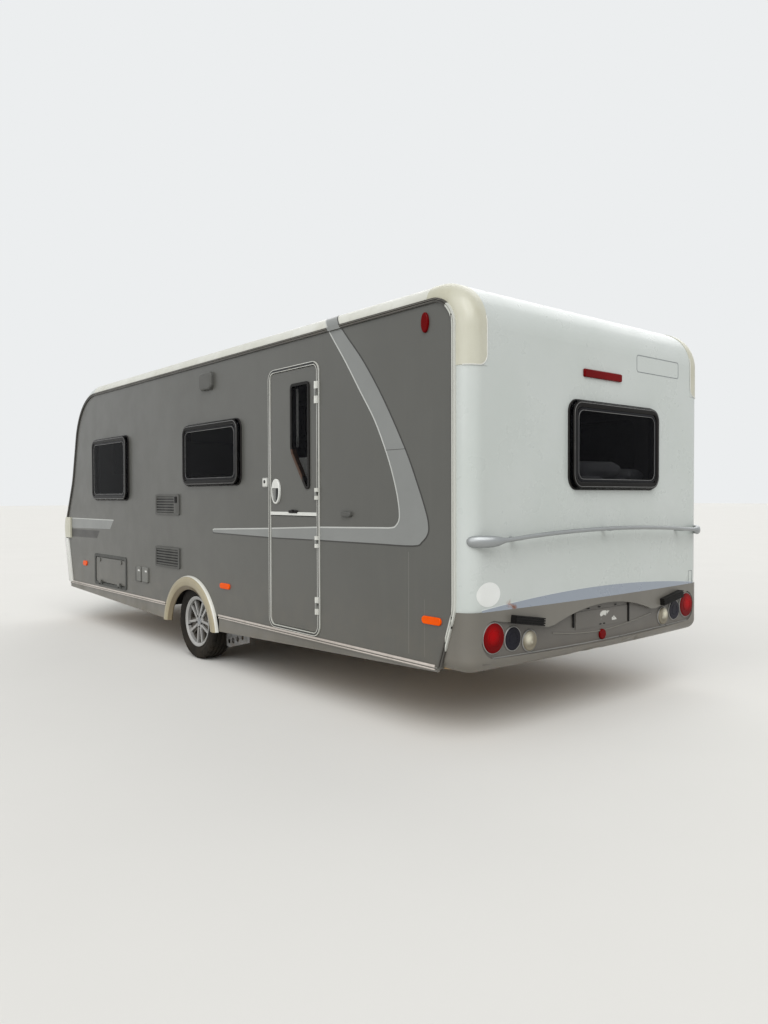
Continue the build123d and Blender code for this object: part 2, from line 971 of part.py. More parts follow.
def roof_hatches():
    domes = []
    for station, y, length, width, tall in roof_hatch_table:
        frame = Pos(station, y) * RectangleRounded(length, width, 50)
        dome = Pos(station, y) * RectangleRounded(length - 50, width - 50, 40)
        foot_top = roof_top + hatch_foot
        hatch = upward(frame, roof_top, foot_top) + upward(dome, foot_top, roof_top + tall)
        domes.append(fillet(hatch.faces().sort_by(Axis.Z)[-1].edges(), 20))
    return domes


cowl_place = (3900, 820)
cowl_profile = [
    # radius, height above the roof
    (0, 0), (75, 0), (75, 8), (60, 14), (42, 14), (42, 54), (62, 54), (62, 60), (40, 74), (0, 74),
]


def heater_cowl():
    turned = revolve(Plane.XZ * polygon(cowl_profile), axis=Axis.Z)
    return Pos(*cowl_place, roof_top) * turned


# Chassis
member_rear = 300
member_front = 5900
member_thickness = 5
member_flange = 55
member_foot = 340          # lower edge of the web away from the axle
member_low = 190           # and beside the axle
member_outline = [
    # station, height, radius
    (member_rear, member_top, 0),
    (member_rear, member_foot, 0),
    (axle_station - 1040, member_foot, 120),
    (axle_station - 580, member_low, 80),
    (axle_station + 620, member_low, 80),
    (axle_station + 1080, member_foot, 120),
    (member_front, member_foot, 0),
    (member_front, member_top, 0),
]
lightening_holes = [
    # distance ahead of the axle, height, half length, radius
    (-417, 262, 70, 32),
    (423, 262, 70, 32),
    (-777, 350, 40, 24),
    (823, 350, 40, 24),
]
axle_tube_station = axle_station + 170
axle_tube_height = 300
axle_tube_radius = 58
crossmember_stations = (420, 1900, 4700, 5655)
crossmember_width = 44
crossmember_foot = 350


def chassis_members():
    web = rounded_polygon(member_outline)
    for ahead, height, half_length, radius in lightening_holes:
        slot = SlotOverall(2 * (half_length + radius), 2 * radius)
        web -= Pos(axle_station + ahead, height) * slot
    web -= Pos(axle_tube_station, axle_tube_height) * RegularPolygon(
        axle_tube_radius + seat_gap, 6
    )
    inner = member_half_spacing - member_flange
    member = across(web, member_half_spacing - member_thickness, member_half_spacing)
    member += block(
        member_rear, member_front, inner, member_half_spacing,
        member_top - member_thickness, member_top,
    )
    member += block(
        axle_station - 540, axle_station + 580, inner, member_half_spacing,
        member_low, member_low + member_thickness,
    )
    return both_sides(member)


def crossmembers():
    inside = member_half_spacing - member_thickness
    return [
        block(
            station - crossmember_width / 2, station + crossmember_width / 2,
            -inside, inside, crossmember_foot, member_top - member_thickness,
        )
        for station in crossmember_stations
    ]


drawbar_start = 5700
drawbar_depth = 90
drawbar_width = 60
drawbar_top = member_top - member_thickness
drawbar_nose = (coupling_station - 520, coupling_station - 300)
drawbar_nose_half_width = 80


def drawbar():
    # two box section legs that run inside the members and meet under the coupling
    leg_start = Vector(drawbar_start, member_half_spacing - drawbar_width / 2 - 8, 0)
    leg_end = Vector(coupling_station - 330, 52, 0)
    reach = leg_end - leg_start
    angle = degrees(atan2(reach.Y, reach.X))
    section = Box(
        reach.length, drawbar_width, drawbar_depth, align=(Align.MIN, Align.CENTER, Align.MAX)
    )
    leg = Pos(leg_start.X, leg_start.Y, drawbar_top) * Rot(0, 0, angle) * section
    nose = block(
        *drawbar_nose, -drawbar_nose_half_width, drawbar_nose_half_width,
        drawbar_top - drawbar_depth, drawbar_top,
    )
    return leg + other_side(leg) + nose


arm_inside = wheel_track_half - 180
arm_outside = wheel_track_half - 140
drum_radius = 128
drum_width = 62
arm_root = axle_tube_radius + 4
arm_end = 48
stub_radius = 28
drum_out = wheel_track_half + 52


def axle():
    tube = Pos(axle_tube_station, axle_tube_height) * RegularPolygon(axle_tube_radius, 6)
    beam = across(tube, -arm_inside - seat_gap, arm_inside + seat_gap)
    arm = rounded_polygon([
        (axle_tube_station + arm_root, axle_tube_height - arm_root, arm_root - 12),
        (axle_tube_station + arm_root, axle_tube_height + arm_root, arm_root - 12),
        (axle_station - arm_end, tyre_radius + arm_end, arm_end - 4),
        (axle_station - arm_end, tyre_radius - arm_end, arm_end - 4),
    ])
    swing = across(arm, arm_inside, arm_outside)
    drum = Pos(axle_station, tyre_radius) * Circle(drum_radius)
    brake = across(drum, arm_outside, arm_outside + drum_width)
    stub = across(
        Pos(axle_station, tyre_radius) * Circle(stub_radius), arm_outside + drum_width, drum_out
    )
    piece = swing + brake + stub
    return beam + piece + other_side(piece)


# Coupling, handbrake and jockey clamp
ball_radius = 25.5
housing_half_width = 45


def coupling():
    tube_height = coupling_height + 34
    tube = tube_between(
        (coupling_station - 640, 0, tube_height), (coupling_station - 110, 0, tube_height), 24
    )
    head = rounded_polygon([
        (coupling_station - 210, coupling_height - 6, 10),
        (coupling_station - 210, coupling_height + 74, 20),
        (coupling_station - 60, coupling_height + 92, 20),
        (coupling_station + 10, coupling_height + 62, 30),
        (coupling_station + 36, coupling_height - 22, 8),
        (coupling_station - 60, coupling_height - 22, 8),
        (coupling_station - 90, coupling_height - 6, 10),
    ])
    body = across(head, -46, 46)
    body += block(
        coupling_station - 540, coupling_station - 310, -housing_half_width, housing_half_width,
        drawbar_top, coupling_height + 72,
    )
    handle = rounded_polygon([
        (coupling_station - 40, coupling_height + 84, 6),
        (coupling_station - 250, coupling_height + 176, 12),
        (coupling_station - 240, coupling_height + 200, 12),
        (coupling_station - 20, coupling_height + 104, 10),
    ])
    body += across(handle, -20, 20)
    socket = Pos(coupling_station - 12, 0, coupling_height + 10) * Sphere(ball_radius)
    mouth = Pos(coupling_station - 12, 0, coupling_height - 60) * Cylinder(
        ball_radius, 70, align=(Align.CENTER, Align.CENTER, Align.MIN)
    )
    return (body + tube) - socket - mouth


handbrake_station = 7360
handbrake_height = 462
handbrake_side = -49


def handbrake():
    # lever beside the overrun housing, outlines from its pivot
    lever = rounded_polygon([(-30, -20, 8), (30, -20, 8), (90, 230, 12), (60, 235, 12)])
    grip = rounded_polygon([(42, 120, 8), (78, 112, 8), (102, 240, 12), (66, 248, 12)])
    pivot = Pos(handbrake_station, handbrake_height)
    bracket = across(
        pivot * Rectangle(90, 60), handbrake_side, -(housing_half_width + seat_gap)
    )
    blade = across(pivot * lever, handbrake_side - 8, handbrake_side)
    handle = across(pivot * grip, handbrake_side - 16, handbrake_side + 8)
    return bracket + blade + handle


jockey_outer_radius = 30
jockey_inner_radius = 24
jockey_wheel_radius = 100
jockey_trail = 62


def jockey_clamp(legs):
    sleeve = tube_between(
        (jockey_station, jockey_side, 345), (jockey_station, jockey_side, 660),
        jockey_outer_radius, jockey_inner_radius + seat_gap,
    )
    arm = block(
        jockey_station - 30, jockey_station + 30, drawbar_nose_half_width,
        jockey_side - jockey_outer_radius + 3, 372, 420,
    )
    arm -= legs
    arm = arm.solids().sort_by(SortBy.VOLUME)[-1]
    return sleeve + arm


def jockey_stem():
    shaft = tube_between(
        (jockey_station, jockey_side, 245 + seat_gap), (jockey_station, jockey_side, 670),
        jockey_inner_radius,
    )
    crank = tube_between(
        (jockey_station, jockey_side, 670), (jockey_station, jockey_side, 700), 9
    )
    crank += block(
        jockey_station - 12, jockey_station + 120, jockey_side - 9, jockey_side + 9, 690, 704
    )
    crank += tube_between(
        (jockey_station + 110, jockey_side, 700), (jockey_station + 110, jockey_side, 770), 12
    )
    return shaft + crank


def jockey_fork():
    plate = Pos(jockey_station, jockey_side, 240) * Cylinder(36, 10)
    top = block(
        jockey_station - jockey_trail - 20, jockey_station + 34,
        jockey_side - 46, jockey_side + 46, 222, 235,
    )
    cheek = rounded_polygon([
        (jockey_station + 34, 235, 4),
        (jockey_station - jockey_trail - 20, 235, 4),
        (jockey_station - jockey_trail - 22, jockey_wheel_radius - 18, 16),
        (jockey_station - jockey_trail + 22, jockey_wheel_radius - 18, 16),
    ])
    near = across(cheek, jockey_side + 40, jockey_side + 46)
    far = across(cheek, jockey_side - 46, jockey_side - 40)
    pin = tube_between(
        (jockey_station - jockey_trail, jockey_side - 52, jockey_wheel_radius),
        (jockey_station - jockey_trail, jockey_side + 52, jockey_wheel_radius), 9.95,
    )
    return plate + top + near + far + pin


def jockey_wheel():
    section = rounded_polygon([
        (jockey_wheel_radius, -28, 14), (jockey_wheel_radius, 28, 14), (70, 28, 4), (66, 14, 0),
        (24, 14, 0), (24, 33, 0), (10, 33, 0), (10, -33, 0), (24, -33, 0), (24, -14, 0),
        (66, -14, 0), (70, -28, 4),
    ])
    turned = Plane(
        origin=(jockey_station - jockey_trail, jockey_side, jockey_wheel_radius),
        x_dir=(0, 0, 1), z_dir=(-1, 0, 0),
    )
    axis = Axis((jockey_station - jockey_trail, jockey_side, jockey_wheel_radius), (0, 1, 0))
    return revolve(turned * section, axis=axis)


# Perforated brackets under the floor behind the wheels
jacking_outline = [
    # distance behind the axle, height, corner radius
    (352, wall_bottom, 0), (352, 152, 6), (408, 146, 30), (735, 228, 10), (735, wall_bottom, 0),
]
jacking_holes = [
    # distance behind the axle, height, radius
    (396, 196, 20), (462, 210, 24), (540, 232, 24), (620, 254, 20), (430, 290, 26), (560, 320, 26),
]
jacking_side = half_width - 150
jacking_flange = (430, 725, 56)    # its two ends behind the axle, and its width inwards
jacking_thickness = 4


def jacking_brackets():
    web = rounded_polygon([
        (axle_station - behind, height, radius) for behind, height, radius in jacking_outline
    ])
    for behind, height, radius in jacking_holes:
        web -= Pos(axle_station - behind, height) * Circle(radius)
    bracket = across(web, jacking_side, jacking_side + jacking_thickness)
    near, far, width = jacking_flange
    bracket += block(
        axle_station - far, axle_station - near, jacking_side - width, jacking_side,
        wall_bottom - jacking_thickness, wall_bottom,
    )
    return both_sides(bracket)


# Corner steadies
steadies = [
    # name, pivot station, direction the stowed leg points in, side
    ("rear_left_steady", 1060, -1, 1),
    ("rear_right_steady", 1060, -1, -1),
    ("front_left_steady", 5080, 1, 1),
    ("front_right_steady", 5080, 1, -1),
]
steady_side = member_half_spacing - 60
steady_pin_radius = 8
bracket_thickness = 6


def steady_brackets():
    brackets = []
    for name, station, direction, side in steadies:
        ears = []
        for y in (-34, 34 - bracket_thickness):
            inner, outer = steady_side + y, steady_side + y + bracket_thickness
            low, high = sorted((side * inner, side * outer))
            ears.append(block(
                station - 30, station + 30, low, high, steady_pivot_height - 26, drawbar_top
            ))
        low, high = sorted((side * (steady_side - 34), side * (steady_side + 34)))
        top = block(
            station - 30, station + 30, low, high, drawbar_top - bracket_thickness, drawbar_top
        )
        pin = tube_between(
            (station, side * steady_side - 34, steady_pivot_height),
            (station, side * steady_side + 34, steady_pivot_height), steady_pin_radius - 0.05,
        )
        brackets.append(ears[0] + ears[1] + top + pin)
    return brackets


def steady_leg(station, direction, side):
    arm = rounded_polygon([
        (-20, -22, 18), (-20, 22, 18), (steady_length, 14, 4), (steady_length, -14, 4),
    ])
    y = side * steady_side
    leg = across(arm, y - 20, y + 20)
    leg -= across(Circle(steady_pin_radius), y - 30, y + 30)
    leg += block(steady_length - 30, steady_length + 50, y - 40, y + 40, -20, -14)
    if direction < 0:
        leg = mirror(leg, about=Plane.YZ)
    return Pos(station, 0, steady_pivot_height) * leg


# Road wheels
rim_profile = [
    # radius, distance from the centre plane towards the outside
    (rim_flange_radius, rim_half_width),
    (rim_flange_radius, rim_half_width - 8),
    (bead_radius, rim_half_width - 12),
    (bead_radius - 3, 30),
    (178, 12),
    (178, -34),
    (bead_radius - 3, -52),
    (bead_radius, 12 - rim_half_width),
    (rim_flange_radius, 8 - rim_half_width),
    (rim_flange_radius, -rim_half_width),
    (210, -rim_half_width),
    (bead_radius - 9, 10 - rim_half_width),
    (bead_radius - 11, -56),
    (170, -38),
    (170, 16),
    (bead_radius - 11, 34),
    (bead_radius - 9, rim_half_width - 10),
    (210, rim_half_width),
]
spoke_count = 5
spoke_turn = 20            # of the first spoke, as the wheel stands in the photo
hub_radius = 66
hub_face = 62
rib_outline = [
    # along the spoke, across it, for one of its two ribs
    (40, 8), (190, 30), (190, 52), (64, 32),
]
disc_faces = (hub_face - 32, hub_face - 15)
disc_window = [
    # out from the hub, across, corner radius: the opening between two spokes
    (108, -12, 8), (150, -34, 16), (184, -42, 8), (184, 42, 8), (150, 34, 16), (108, 12, 8),
]


def lay_wheel(piece):
    # wheel drawn about Z is laid on the left side with its outer face to +Y
    return Pos(axle_station, wheel_track_half, tyre_radius) * Rot(-90, 0, 0) * piece


def rim_shape():
    profile = Plane.XZ * polygon(rim_profile)
    barrel = revolve(profile, axis=Axis.Z)
    plate = Circle(bead_radius - 7)
    rib = upward(polygon(rib_outline), disc_faces[0], hub_face + 4)
    pair = rib + mirror(rib, about=Plane.XZ)
    disc = upward(Circle(hub_radius), disc_faces[0], hub_face)
    step = 360 / spoke_count
    for index in range(spoke_count):
        disc += Rot(0, 0, spoke_turn + step * index) * pair
        plate -= Rot(0, 0, spoke_turn + step * (index + 0.5)) * rounded_polygon(disc_window)
    disc &= Cylinder(bead_radius - 7, 4 * hub_face)
    disc += upward(plate, *disc_faces)
    return barrel + disc - upward(Circle(stub_radius + seat_gap), -rim_half_width, hub_face - 6)


tread_half = 84
groove_depth = 8
tyre_section = [
    # radius, distance from the centre plane, radius of the rounding
    (bead_radius, rim_half_width - 13, 0),
    (225, rim_half_width - 9, 0),
    (262, tyre_width / 2, 40),
    (306, tyre_width / 2 - 5, 24),
    (tyre_radius, tread_half, 14),
    (tyre_radius, -tread_half, 14),
    (306, 5 - tyre_width / 2, 24),
    (262, -tyre_width / 2, 40),
    (225, 9 - rim_half_width, 0),
    (bead_radius, 13 - rim_half_width, 0),
    (bead_radius, 25 - rim_half_width, 0),
    (228, 21 - rim_half_width, 0),
    (262, 14 - tyre_width / 2, 30),
    (302, 20 - tyre_width / 2, 10),
    (tyre_radius - 16, 30 - tread_half, 0),
    (tyre_radius - 16, tread_half - 30, 0),
    (302, tyre_width / 2 - 20, 10),
    (262, tyre_width / 2 - 14, 30),
    (228, rim_half_width - 21, 0),
    (bead_radius, rim_half_width - 25, 0),
]
groove_places = (-52, -18, 18, 52)


def tyre_shape():
    section = rounded_polygon(tyre_section)
    for place in groove_places:
        section -= Pos(tyre_radius, place) * Rectangle(2 * groove_depth, 9)
    return revolve(Plane.XZ * section, axis=Axis.Z)


# Inside
board = 18
bunk_front = 950
bunk_top = 870
upper_bunk = (1330, 1356)
mattress_thickness = 70
mattress_half_width = half_width - 60
kitchen_box = (3560, 4560, half_width - 610, half_width - wall - 3, 472, 1380)
seat_box_top = 880
seat_rear = 4640
seat_depth = 690           # side seats, in from the wall's line
front_seat_depth = 500
cushion_thickness = 120
back_thickness = 130
back_head = 1370
cupboard_foot = 2130
cupboard_head = 2490
cupboard_reach = 350
cupboard_ends = (4640, 5600)


def furniture():
    # bunks across the rear, kitchen, U shaped seat and the cupboards over its sides
    side = half_width
    floor_top = wall_bottom + floor_thickness + seat_gap
    room = envelope(wall + seat_gap)
    lower = block(0, bunk_front, -side, side, floor_top, bunk_top)
    lower -= block(
        wall + 2 * board, bunk_front - board, -side, side, floor_top + board, bunk_top - board
    )
    upper = block(0, bunk_front, -side, side, *upper_bunk)
    kitchen = block(*kitchen_box) - across(
        wheel_box_section(wheel_box_skin + seat_gap), wheel_box_inner - seat_gap, past_side
    )
    seat_front = locker_back - seat_gap
    aisle = half_width - wall - seat_depth
    seat = block(seat_rear, seat_front, -side, side, floor_top, seat_box_top)
    for low, high in ((aisle, side), (-side, -aisle)):
        seat -= block(
            seat_rear + board, seat_front - board, low, high,
            floor_top + board, seat_box_top - board,
        )
    aisle -= board
    seat -= block(seat_rear, seat_front - front_seat_depth, -aisle, aisle, 0, seat_box_top)
    pieces = [lower, upper, kitchen, seat]
    for low, high in ((side - wall - cupboard_reach, side), (-side, wall + cupboard_reach - side)):
        pieces.append(block(*cupboard_ends, low, high, cupboard_foot, cupboard_head))
    return [piece & room for piece in pieces]


def mattresses():
    pads = []
    for rear_end, top in ((wall + 60, bunk_top), (wall + 28, upper_bunk[1])):
        low = top + seat_gap
        pad = block(
            rear_end, bunk_front - 10, -mattress_half_width, mattress_half_width,
            low, low + mattress_thickness,
        )
        pads.append(fillet(pad.edges().filter_by(Axis.Z), 40))
    return pads


def pillow():
    foot = upper_bunk[1] + mattress_thickness + 2 * seat_gap
    heap = block(70, 470, -560, 240, foot, 1590)
    return fillet(heap.edges(), 50)


def seat_cushions():
    # seats and backs along both sides and across the front, clear of each other
    inside = half_width - wall - seat_gap
    aisle = half_width - wall - seat_depth
    front_end = locker_back - seat_gap
    seat_foot = seat_box_top + seat_gap
    back_foot = seat_foot + cushion_thickness + seat_gap
    corner = front_end - back_thickness - seat_gap
    pads = [
        block(front_end - front_seat_depth, front_end, -aisle, aisle, seat_foot, back_foot - seat_gap),
        block(front_end - back_thickness, front_end, -aisle, aisle, back_foot, back_head),
    ]
    for side in (-1, 1):
        low, high = sorted((side * (aisle + seat_gap), side * inside))
        pads.append(block(seat_rear + 10, front_end, low, high, seat_foot, back_foot - seat_gap))
        low, high = sorted((side * (inside - back_thickness), side * inside))
        pads.append(block(seat_rear + 10, corner, low, high, back_foot, back_head))
    return [fillet(pad.edges().filter_by(Axis.Z), 40) for pad in pads]


# All pieces, by node
def all_nodes():
    legs = drawbar()
    rails = awning_rails()
    bumper = rear_bumper(rails)
    nodes = {
        "floor": [floor()],
        "left_wall": [side_wall(1)],
        "right_wall": [side_wall(-1)],
        "roof": [roof()],
        "rear_panel": [rear_panel()],
        "front_panel": [front_panel()],
        "front_lower_panel": [front_lower_panel()],
        "rear_bumper": [bumper],
        "locker_box": [locker_box()],
        "wheel_boxes": wheel_boxes(),
        "awning_rails": rails,
        "corner_mouldings": corner_caps() + front_corner_blocks(rails),
        "side_skirts": side_skirts(),
        "arch_trims": arch_trims(),
        "window_frames": window_frames,
        "window_panes": window_panes,
        "door_frame": [door_frame()],
        "service_door_frame": [service_door_frame()],
        "louvre_vents": louvre_vents(),
        "wall_fittings": wall_fittings(),
        "rear_grips": rear_grips(bumper),
        "amber_markers": amber_side_markers(),
        "red_markers": red_markers() + [high_brake_lamp()],
        "awning_lamp": [awning_lamp()],
        "rear_rail": [rear_rail()],
        "roof_fittings": roof_hatches() + [heater_cowl()],
        "chassis_members": chassis_members(),
        "crossmembers": crossmembers(),
        "drawbar": [legs],
        "steady_brackets": steady_brackets(),
        "jacking_brackets": jacking_brackets(),
        "axle": [axle()],
        "coupling": [coupling()],
        "handbrake": [handbrake()],
        "jockey_clamp": [jockey_clamp(legs)],
        "furniture": furniture(),
        "mattresses": mattresses() + [pillow()],
        "seat_cushions": seat_cushions(),
        "door_upper_leaf": [door_upper_leaf()],
        "door_window_frame": [door_window_frame()],
        "door_pane": [door_pane()],
        "door_lower_leaf": [door_lower_leaf()],
        "service_door": [service_door()],
        "gas_locker_lid": [gas_locker_lid()],
        "jockey_stem": [jockey_stem()],
        "jockey_fork": [jockey_fork()],
        "jockey_wheel": [jockey_wheel()],
    }
    nodes.update(rear_lamp_pairs())
    rim = lay_wheel(rim_shape())
    tyre = lay_wheel(tyre_shape())
    nodes["left_rim"], nodes["right_rim"] = [rim], [other_side(rim)]
    nodes["left_tyre"], nodes["right_tyre"] = [tyre], [other_side(tyre)]
    for name, station, direction, side in steadies:
        nodes[name] = [steady_leg(station, direction, side)]
    return nodes


def export_all():
    os.makedirs("parts", exist_ok=True)
    nodes = all_nodes()
    whole = Compound(children=[
        solid for pieces in nodes.values() for piece in pieces for solid in piece.solids()
    ])
    box = whole.bounding_box()
    centred = Location((-(box.min.X + box.max.X) / 2, 0, 0))
    print("length", box.max.X - box.min.X, "width", box.max.Y - box.min.Y, "height", box.max.Z)
    print("shift", -(box.min.X + box.max.X) / 2)
    for name, pieces in nodes.items():
        solids = [solid.moved(centred) for piece in pieces for solid in piece.solids()]
        shape = solids[0] if len(solids) == 1 else Compound(children=solids)
        shape.label = name
        export_step(shape, "parts/" + name + ".step")


export_all()
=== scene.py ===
import json
import math

import bmesh
import bpy
from mathutils import Matrix, Vector


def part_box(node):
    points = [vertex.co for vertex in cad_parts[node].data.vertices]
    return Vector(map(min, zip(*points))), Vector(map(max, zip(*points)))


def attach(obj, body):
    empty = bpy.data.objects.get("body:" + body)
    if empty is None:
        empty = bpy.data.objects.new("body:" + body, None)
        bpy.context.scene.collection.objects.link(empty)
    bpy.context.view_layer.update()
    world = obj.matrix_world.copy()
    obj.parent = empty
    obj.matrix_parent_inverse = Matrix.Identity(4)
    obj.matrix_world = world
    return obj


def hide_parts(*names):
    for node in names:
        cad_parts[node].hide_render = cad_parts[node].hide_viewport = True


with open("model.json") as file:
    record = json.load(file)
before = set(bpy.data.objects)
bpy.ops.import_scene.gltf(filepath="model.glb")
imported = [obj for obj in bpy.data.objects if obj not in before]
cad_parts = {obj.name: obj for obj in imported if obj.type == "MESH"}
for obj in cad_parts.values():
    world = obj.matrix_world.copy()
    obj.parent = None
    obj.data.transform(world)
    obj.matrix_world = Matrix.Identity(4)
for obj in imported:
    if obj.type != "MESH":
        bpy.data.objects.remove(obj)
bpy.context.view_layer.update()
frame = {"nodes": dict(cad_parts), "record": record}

shown = frame["nodes"]

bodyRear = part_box("left_wall")[0][0] - 0.107   # where stations are counted from, along X
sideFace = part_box("left_wall")[1][1]


def show(words):
    print("caravan:", words)


def at(station):
    # frame X of a place that lies station metres ahead of the rear panel
    return bodyRear + station


show("frame loaded")


# Camera, floor and light

cameraSettings = {
    "place": (-6.887, 4.378, 1.423),
    "turn": -0.6994,      # radians from +X towards +Y
    "lean": -0.0202,      # up or down
    "roll": -0.0028,
    "lens": 27.62,        # millimetres on a 36 mm sensor
}


def setCamera(settings):
    bpy.ops.object.camera_add()
    camera = bpy.context.object
    camera.name = "photoCamera"
    camera.data.lens = settings["lens"]
    camera.data.clip_end = 400
    turned = Matrix.Rotation(settings["turn"] - math.pi / 2, 4, "Z")
    leaned = Matrix.Rotation(settings["lean"] + math.pi / 2, 4, "X")
    rolled = Matrix.Rotation(settings["roll"], 4, "Z")
    camera.matrix_world = Matrix.Translation(settings["place"]) @ turned @ leaned @ rolled
    bpy.context.scene.camera = camera


def tone(red, green, blue):
    # a colour as seen on screen, 0 to 255, as the shader's own value
    parts = []
    for value in (red, green, blue):
        part = value / 255
        parts.append(part / 12.92 if part <= 0.04045 else ((part + 0.055) / 1.055) ** 2.4)
    return (*parts, 1.0)


def add(tree, kind, inputs=None, **settings):
    # a shader node with its settings, and sockets set to values or joined to other sockets
    made = tree.nodes.new("ShaderNode" + kind)
    for key, value in settings.items():
        setattr(made, key, value)
    for key, value in (inputs or {}).items():
        if isinstance(value, bpy.types.NodeSocket):
            tree.links.new(value, made.inputs[key])
        else:
            made.inputs[key].default_value = value
    return made


def maths(tree, operation, first, second=0.0, third=0.0):
    inputs = {0: first, 1: second, 2: third}
    return add(tree, "Math", inputs, operation=operation).outputs[0]


def between(tree, value, low, high, toLow=0.0, toHigh=1.0):
    # value eased from low to high into toLow to toHigh
    inputs = {"Value": value, "From Min": low, "From Max": high, "To Min": toLow, "To Max": toHigh}
    return add(tree, "MapRange", inputs, interpolation_type="SMOOTHSTEP").outputs[0]


def mixColours(tree, factor, first, second):
    return add(tree, "Mix", {0: factor, 6: first, 7: second}, data_type="RGBA").outputs[2]


def placeOf(tree, stretch=(1, 1, 1)):
    place = add(tree, "TexCoord").outputs["Object"]
    return add(tree, "Mapping", {"Vector": place, "Scale": stretch}).outputs[0]


def noise(tree, scale, detail, stretch=(1, 1, 1)):
    inputs = {"Vector": placeOf(tree, stretch), "Scale": scale, "Detail": detail, "Roughness": 0.55}
    return add(tree, "TexNoise", inputs).outputs["Fac"]


def relief(tree, height, strength, distance, under=None):
    inputs = {"Height": height, "Strength": strength, "Distance": distance}
    if under is not None:
        inputs["Normal"] = under
    return add(tree, "Bump", inputs).outputs[0]


lightSettings = {
    "sky": 0.42,
    "background": tone(236, 238, 239),
    "floor": tone(222, 221, 217),
    "lamps": [
        # name, direction it shines in, strength, spread in degrees
        ("keyLamp", (0.62, -0.35, -0.78), 0.50, 50),
        ("doorSideLamp", (0.25, -0.80, -0.55), 0.36, 60),
        ("farSideLamp", (-0.45, 0.70, -0.62), 0.25, 60),
    ],
}


def setLight(settings):
    world = bpy.data.worlds.new("studio")
    bpy.context.scene.world = world
    world.use_nodes = True
    tree = world.node_tree
    path = add(tree, "LightPath")
    seen = maths(tree, "ADD", path.outputs["Is Camera Ray"], path.outputs["Is Glossy Ray"])
    seen = maths(tree, "ADD", seen, path.outputs["Is Transmission Ray"])
    seen = maths(tree, "MINIMUM", seen, 1.0)
    lighting = tree.nodes["Background"]
    lighting.inputs["Color"].default_value = (1, 1, 1, 1)
    lighting.inputs["Strength"].default_value = settings["sky"]
    backdrop = add(tree, "Background", {"Color": settings["background"], "Strength": 1.0})
    both = add(tree, "MixShader", {0: seen, 1: lighting.outputs[0], 2: backdrop.outputs[0]})
    tree.links.new(both.outputs[0], tree.nodes["World Output"].inputs["Surface"])
    for name, direction, strength, spread in settings["lamps"]:
        bpy.ops.object.light_add(type="SUN")
        lamp = bpy.context.object
        lamp.name = name
        lamp.rotation_euler = Vector(direction).to_track_quat("-Z", "Y").to_euler()
        lamp.data.energy = strength * math.pi
        lamp.data.angle = math.radians(spread)


def freshMaterial(name):
    material = bpy.data.materials.new(name)
    material.use_nodes = True
    tree = material.node_tree
    return material, tree, tree.nodes["Principled BSDF"].inputs


def layFloor(settings):
    bpy.ops.object.select_all(action="DESELECT")
    bpy.ops.mesh.primitive_plane_add(size=260)
    ground = bpy.context.object
    ground.name = "studioFloor"
    material, tree, sockets = freshMaterial("paleFloor")
    sockets["Roughness"].default_value = 0.9
    sockets["Specular IOR Level"].default_value = 0.1
    cloud = between(tree, noise(tree, 0.7, 3), 0.3, 0.7)
    pale = settings["floor"]
    darker = [part * 0.985 for part in pale[:3]] + [1]
    tree.links.new(mixColours(tree, cloud, pale, darker), sockets["Base Color"])
    ground.data.materials.append(material)


setCamera(cameraSettings)
setLight(lightSettings)
layFloor(lightSettings)
bpy.context.scene.view_settings.view_transform = "Standard"
show("camera, floor and light set")


# Finishes

def axesOf(tree):
    return add(tree, "SeparateXYZ", {0: placeOf(tree)}).outputs


def inRange(tree, value, low, high):
    # 1 between low and high and 0 elsewhere
    return maths(tree, "COMPARE", value, (low + high) / 2, (high - low) / 2)


def farFrom(tree, values, centres):
    # the square of the distance from a middle
    total = 0.0
    for value, centre in zip(values, centres):
        away = maths(tree, "SUBTRACT", value, centre)
        total = maths(tree, "MULTIPLY_ADD", away, away, total)
    return total


def insideBox(tree, low, high):
    place = axesOf(tree)
    inside = 1.0
    for axis, near, far in zip("XYZ", low, high):
        inside = maths(tree, "MULTIPLY", inRange(tree, place[axis], near, far), inside)
    return inside


def insideOval(tree, middle, radii, depth):
    # an oval seen from the side, between two distances from the caravan's middle plane
    place = axesOf(tree)
    total = 0.0
    for axis, centre, radius in zip("XZ", middle, radii):
        away = maths(tree, "SUBTRACT", place[axis], centre)
        away = maths(tree, "DIVIDE", away, radius)
        total = maths(tree, "MULTIPLY_ADD", away, away, total)
    inside = maths(tree, "LESS_THAN", total, 1.0)
    return maths(tree, "MULTIPLY", inside, inRange(tree, place["Y"], *depth))


def insideRing(tree, middle, near, far):
    # between two distances from an axis that runs across the caravan
    place = axesOf(tree)
    reach = maths(tree, "SQRT", farFrom(tree, (place["X"], place["Z"]), middle))
    return inRange(tree, reach, near, far)


def outsideCorner(tree, middle, radius, foot):
    # beyond a rounded lower corner, seen from behind; it turns towards the middle plane
    place = axesOf(tree)
    across = maths(tree, "ABSOLUTE", place["Y"])
    total = 0.0
    for value, centre in ((across, middle[0]), (place["Z"], middle[1])):
        away = maths(tree, "MINIMUM", maths(tree, "SUBTRACT", value, centre), 0.0)
        total = maths(tree, "MULTIPLY_ADD", away, away, total)
    high = maths(tree, "GREATER_THAN", place["Z"], foot)
    return maths(tree, "MULTIPLY", maths(tree, "GREATER_THAN", total, radius * radius), high)


